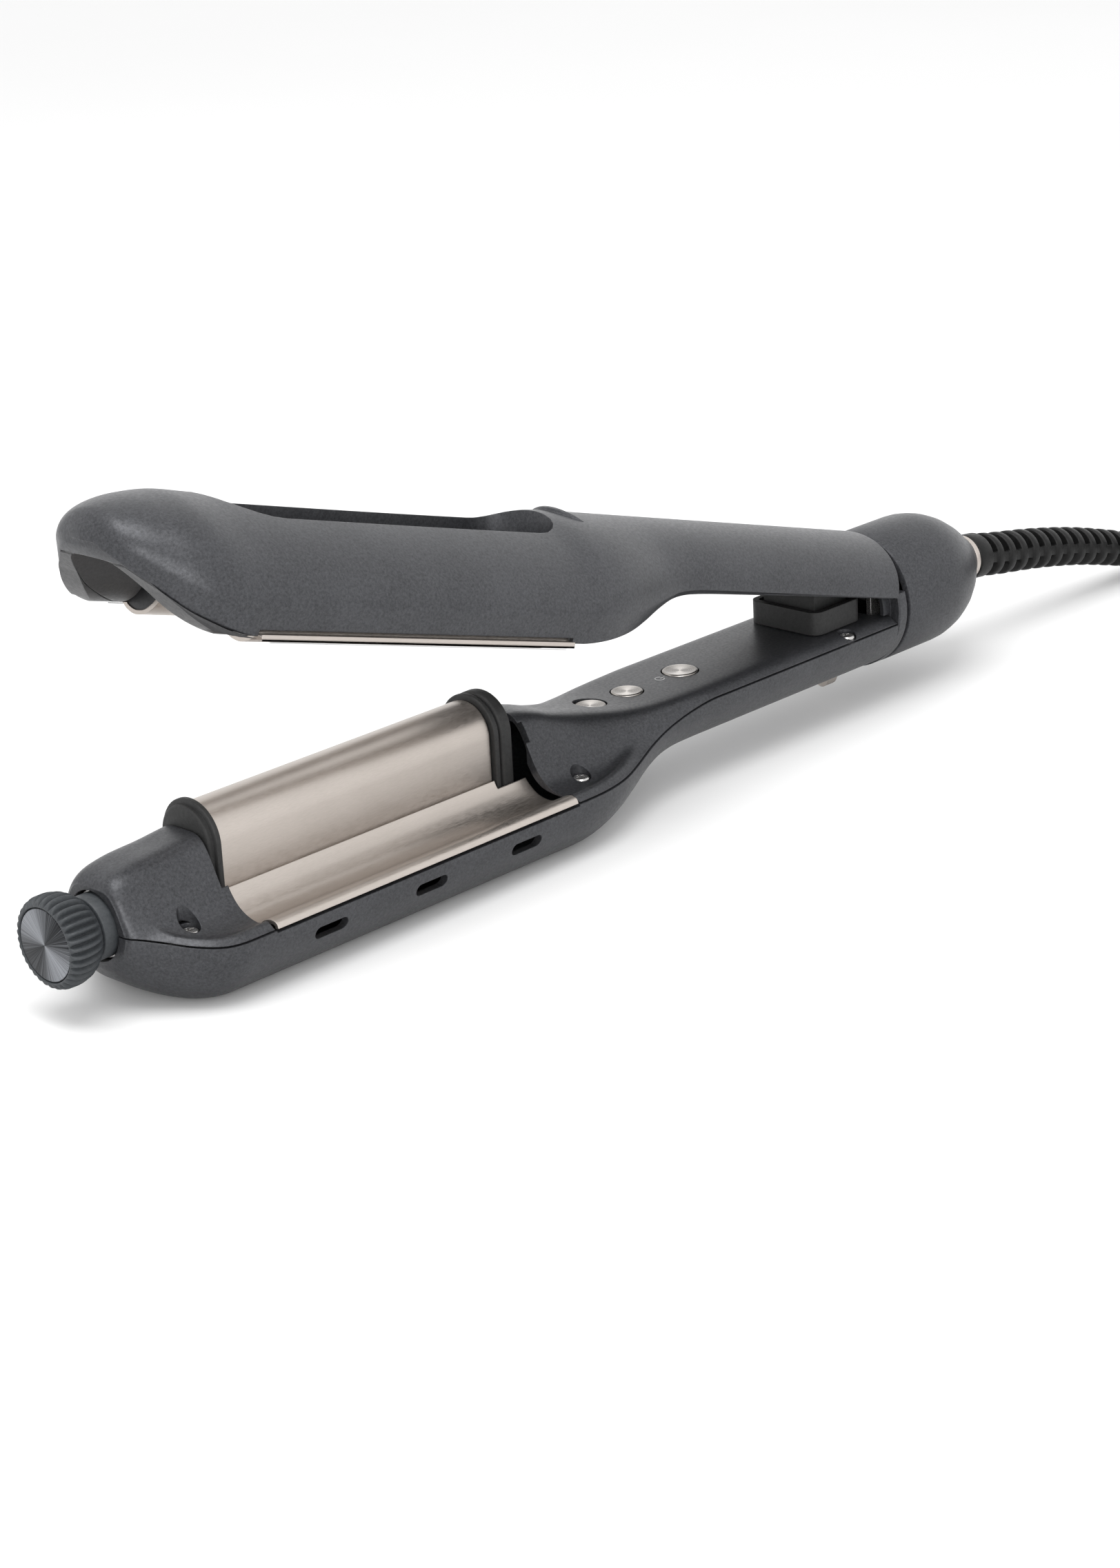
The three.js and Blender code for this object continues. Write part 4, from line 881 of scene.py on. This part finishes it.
def upper_ring(x, inset=0.0, steps=40, floor=None):
    """The upper arm's section: a crown, a crease along each side, and a flank that tucks in to the lip."""
    half, top, base = upper_half(x) - inset, upper_top(x) - inset, crease(x)
    floor = upper_lip(x) if floor is None else floor
    power = crown_power(x)
    tuck = min(1.0, half / 8)
    right = [(half - 2.0 * tuck, floor), (half - 1.6 * tuck, floor + 0.1 * tuck),
             (half - 1.3 * tuck, floor + 0.45 * tuck), (half - 0.12 * tuck, base - 0.5 * tuck), (half, base)]
    for i in range(1, steps + 1):
        a = math.pi / 2 * i / steps
        y, z = math.cos(a) ** (2 / power), math.sin(a) ** (2 / power)
        right.append((half * y if i < steps else 0.0, base + (top - base) * z))
    return mirrored(right, on_axis=True)


# UPPER_X are the outer skin's stations and UPPER_INNER the hollow's.
UPPER_X = ([10.6, 10.65, 10.7, 10.77, 10.85, 10.93] + span(11, 13.4, 0.15) + span(13.8, 24, 0.5)
           + span(25, 45, 1) + span(50, 140, 6) + span(143, 208, 1.25) + span(216, ARM_REAR_X, 8))
UPPER_INNER = [14, 15.5, 17.5, 19.5, 21.5, 23.5, 26, 28.5, 31, 34, 37, 45, 143, 148, 152, 158, 164, 170, 176,
               182, 188, 208, ARM_REAR_X + 1]
NOSE_ROOM = [4] + span(13.9, 17.8, 0.3) + span(19, 42.8, 1.25)
DECK_ROOM = [136.8] + span(139.5, 194, 1.7)


def inside_arm(inset, drop=20.0, steps=24):
    return loft("inside_arm", UPPER_INNER, lambda x: upper_ring(x, inset, steps, upper_lip(x) - drop))


def clearance(stations, gap):
    """What the closed upper arm must clear: everything up to a gap above the lower covers."""
    wide, low = 29.0, -50.0

    def ring(x):
        at = max(x, 13.9)
        half = lower_half(at)
        across = [wide] + [half * (1 - (i / 40) ** 1.2) for i in range(41)]
        right = [(y, (cover_height(at, y) if y < half else seam(at)) + gap) for y in across]
        return [(-wide, low), (wide, low)] + mirrored(right, on_axis=True)

    return loft("clearance", stations, ring)


def slot_plan():
    """The slot's outline as (x, y), rounded at both ends."""
    half = [(40.0, 0.0), (41.6, -2.6), (44, -6), (47, -8.7), (50, -10.6), (53.4, -11.8), (57, -SLOT_HALF),
            (138, -SLOT_HALF), (141.2, -11.9), (144, -10.6), (146, -8.8), (147.2, -6.6), (148, -3.4),
            (148.2, 0.0)]
    return half + [(x, -y) for x, y in reversed(half[1:-1])]


def grown(outline, distance):
    """A convex outline moved outwards."""
    cx = sum(x for x, _ in outline) / len(outline)
    wide, high = max(x for x, _ in outline) - cx, max(y for _, y in outline)
    return [(cx + (x - cx) * (1 + distance / wide), y * (1 + distance / high)) for x, y in outline]


RIDGE = {"x": 154.2, "half": 8.6, "sweep": 2.6, "width": 1.3, "height": 1.1, "root": 1.2}


def ridge(steps=28):
    """The thin raised crescent behind the slot, fading out at its tips."""
    rings = []
    for i in range(steps + 1):
        y = RIDGE["half"] * (2 * i / steps - 1)
        out = (y / RIDGE["half"]) ** 2
        fade = max(0.03, 1 - out)
        x = RIDGE["x"] + RIDGE["sweep"] * out
        crown = crease(x) + (upper_top(x) - crease(x)) * math.sqrt(1 - (y / upper_half(x)) ** 2)
        width, height, root = 0.25 + RIDGE["width"] * fade, RIDGE["height"] * fade ** 0.8, RIDGE["root"]
        section = [(-1, -root), (-0.6, height * 0.75), (0, height), (0.3, height * 0.8), (0.5, -root)]
        rings.append([(x + width * u, y, crown + z) for u, z in section])
    return skin("ridge", rings)


LIP_X = (PLATE_X[0] - 2.7, PLATE_X[1] + 0.7)
ROOM_GAP = 1.0


def build_upper():
    rooms = clearance(NOSE_ROOM, ROOM_GAP), clearance(DECK_ROOM, ROOM_GAP)
    build_upper_shell(rooms)
    build_upper_liner(rooms)
    build_upper_plates(rooms)
    for room in rooms:
        bpy.data.objects.remove(room)


def build_upper_shell(rooms):
    """The outer shell, with a skirt round the slot that reaches down to the liner."""
    shell = cut(loft("upper_shell_fine", UPPER_X, upper_ring), inside_arm(WALL))
    cut(shell, *rooms, keep=True)
    skirt = prism("skirt", grown(slot_plan(), 1.3), "Z", 16.8, 40)
    cut(skirt, block("over_flange", (30, 60), 20, (10, CHANNEL_TOP)))
    joined(shell, common(skirt, loft("inside", UPPER_X, lambda x: upper_ring(x, 0.4))), ridge())
    cut(shell, prism("slot", slot_plan(), "Z", 10, 40), block("lip", LIP_X, WIDE, (-20, UPPER_LIP_Z)),
        block("lip", LIP_X, 26.3, (-20, UPPER_LIP_Z + 0.6)))
    settle(shell, "upper_arm", GRAPHITE, ["upper_shell"], sharp=26)


def under_lip():
    """A band that closes the nose's underside, just inside the shell's lip."""
    def ring(x):
        nose = 1 - ease((x - 15) / 5)
        half, deep = upper_half(x) - 1.0 - 1.2 * nose, 0.15 + 1.6 * ease((x - 19) / 12)
        z0, z1 = upper_lip(x) - deep, upper_lip(x) - 0.12 + nose
        soft = 0.4 * deep
        return [(-half + soft, z0), (half - soft, z0), (half, z0 + soft), (half, z1), (-half, z1),
                (-half, z0 + soft)]

    return loft("under_lip", span(14.4, 39.6, 0.9), ring)


def plate_ends(name, line, spans):
    """Pieces that fill the room between the wave plates' ends and the liner."""
    top = 5.0
    outline = line + [(line[-1][0], top), (line[0][0], top)]
    return [prism(name, [(sign * y, z) for y, z in outline], "X", *x) for x in spans for sign in (1, -1)]


def build_upper_liner(rooms):
    """The inner moulding: solid ends, a wall along each side of the channel, and the plates' end pieces."""
    inset = WALL + 0.16
    hollow = cut(inside_arm(inset + 2, -2.5), clearance(NOSE_ROOM, 3.0), clearance(DECK_ROOM, 3.0))
    stock = block("liner_fine", (12, 39.9), WIDE, (-10, 16.5))
    joined(stock, block("stock", (140.1, 182), WIDE, (-10, 16.5)))
    body = cut(common(stock, inside_arm(inset, 0.0)), hollow)
    low, high = CHANNEL_HALF + GAP, SLOT_HALF - GAP
    walls = [block("wall", (39, 141), y, (2.2, 19.2)) for y in ((low, high), (-high, -low))]
    walls = common(joined(*walls), inside_arm(inset))
    end_line = line_below(fine_line(TROUGH[1:-3]), -PLATE_SPACING)
    over_plate = [(max(y, 9.9), z) for y, z in line_below(end_line, -1.04)]
    ends = plate_ends("end", end_line, ((38, LIP_X[0]), (LIP_X[1], 142)))
    closers = plate_ends("closer", over_plate, ((43.1, 44.6), (135.4, 136.9)))
    body = cut(joined(body, walls, under_lip(), *ends), *rooms, keep=True)
    joined(body, *closers)
    cut(body, block("channel", (36.8, 137.6), CHANNEL_HALF, (-20, CHANNEL_TOP)))
    settle(body, "upper_arm", LINER, ["upper_liner"])


def build_upper_plates(rooms):
    """The upper wave plates, a small gap above the lower ones when the arms are closed."""
    wave = line_below(fine_line(TROUGH), -PLATE_SPACING)
    profile = [(min(y, 26.9), min(z, UPPER_LIP_Z - GAP) if y > 24.8 else z) for y, z in strip_of(wave, -1.0)]
    for side, sign in SIDES.items():
        plate = prism(f"upper_wave_{side}", [(sign * y, z) for y, z in profile], "X", 40.5, 139.5)
        cut(plate, *rooms, keep=True)
        cut(plate, *flange_room())
        settle(plate, "upper_arm", CHAMPAGNE, [f"upper_plate_{side}"], sharp=40)


# ---------- the plug ----------
GRIP = {"x": (446, 462), "pitch": 3.2, "depth": 0.7}


def build_plug():
    """A rounded plug that narrows towards its lead, with finger grooves, lying on the coil."""
    start, stop = PLUG_X
    y0 = COIL["centre"][1] - COIL["middle"] + COIL["pitch"]
    middle, height = (PLUG_Z[0] + PLUG_Z[1]) / 2, (PLUG_Z[1] - PLUG_Z[0]) / 2 - 0.1
    half = track([(start, 12.3), (start + 20, 12.3), (stop, 5)])
    tall = track([(start, height), (start + 17.5, height), (stop, 4.4)])

    def ring(x):
        phase = (x - GRIP["x"][0]) * 2 * math.pi / GRIP["pitch"]
        gripped = GRIP["x"][0] < x < GRIP["x"][1]
        inset = GRIP["depth"] * (0.5 - 0.5 * math.cos(phase)) if gripped else 0.0
        end = 0.6 * max(0.0, 1 - (x - start) / 0.8) + 0.6 * max(0.0, 1 - (stop - x) / 0.8)
        w, h = half(x) - inset - end, tall(x) - inset * 0.6 - end
        points = []
        for j in range(64):
            a = 2 * math.pi * j / 64
            c, s = (math.copysign(abs(v) ** 0.5, v) for v in (math.cos(a), math.sin(a)))
            points.append((y0 + w * c, middle + h * s))
        return points

    stations = [start] + span(start + 0.4, stop - 0.4, 0.4) + [stop]
    return settle(loft("plug_moulded", stations, ring), "lower_arm", RELIEF_RUBBER, ["plug"])


build_lower()
build_troughs()
build_barrel()
build_knob()
build_buttons()
build_marks()
build_screws()
build_hinge()
build_collar()
build_lock()
build_relief()
build_upper()
plug = build_plug()

# ---------- finishes of the CAD nodes that stay ----------
STAYS = {
    RUBBER: ("upper_hinge_boss",),
    LINER: ("upper_base",),
    STEEL: ("hinge_pin", "hinge_bracket", "torsion_spring", "knob_bush", "plug_pin_near", "plug_pin_far",
            "base_screw_front", "base_screw_rear"),
    NYLON: ("barrel_carrier", "lift_slider", "switch_down", "switch_up", "switch_power"),
    BOARD: ("circuit_board",),
    MICA: ("trough_heater_near", "trough_heater_far", "upper_heater_near", "upper_heater_far",
           "barrel_heater"),
}
for material, names in STAYS.items():
    for name in names:
        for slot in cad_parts[name].material_slots:
            slot.material = material

# ---------- the cord's finish ----------
cord.data.materials.append(CABLE)
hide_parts("cord", "cord_coil")
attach(cord, "lower_arm")


# ---------- floor and light, in metres in the row frame ----------
def build_floor():
    low, high = -2.5, 4.0
    corners = [(low, low, 0), (high, low, 0), (high, high, 0), (low, high, 0)]
    floor = mesh_object("floor", corners, [(0, 1, 2, 3)])
    paint = Paint("floor_paper", Roughness=0.85, Specular_IOR_Level=0.2)
    paint.link(paint.blend(paint.noise(3.0), grey(0.70), grey(0.72)), "Base Color")
    floor.data.materials.append(paint.material)


def area_light(name, at, toward, size, energy):
    data = bpy.data.lights.new(name, "AREA")
    data.shape = "RECTANGLE"
    data.size, data.size_y = size
    data.energy = energy
    light = in_scene(name, data)
    light.location = at
    light.rotation_euler = (Vector(toward) - Vector(at)).to_track_quat("-Z", "Y").to_euler()


def build_world():
    """White light from all round, a little stronger at the horizon than overhead."""
    world = bpy.data.worlds.new("studio")
    world.use_nodes = True
    nodes, links = world.node_tree.nodes, world.node_tree.links
    coord = nodes.new("ShaderNodeTexCoord")
    parts = nodes.new("ShaderNodeSeparateXYZ")
    ramp = nodes.new("ShaderNodeMapRange")
    nodes["Background"].inputs["Color"].default_value = grey(1.0)
    for key, value in {"From Min": 0.0, "From Max": 0.95, "To Min": 1.4, "To Max": 1.2}.items():
        ramp.inputs[key].default_value = value
    links.new(coord.outputs["Generated"], parts.inputs[0])
    links.new(parts.outputs["Z"], ramp.inputs["Value"])
    links.new(ramp.outputs["Result"], nodes["Background"].inputs["Strength"])
    scene.world = world


build_floor()
build_world()
area_light("key", (-0.35, -0.15, 1.1), (0.0, 0.0, 0.03), (0.9, 0.6), 9.0)
area_light("front", (-0.9, -0.9, 0.45), (-0.05, 0.0, 0.04), (0.7, 0.35), 5.0)
scene.view_settings.view_transform = "Standard"
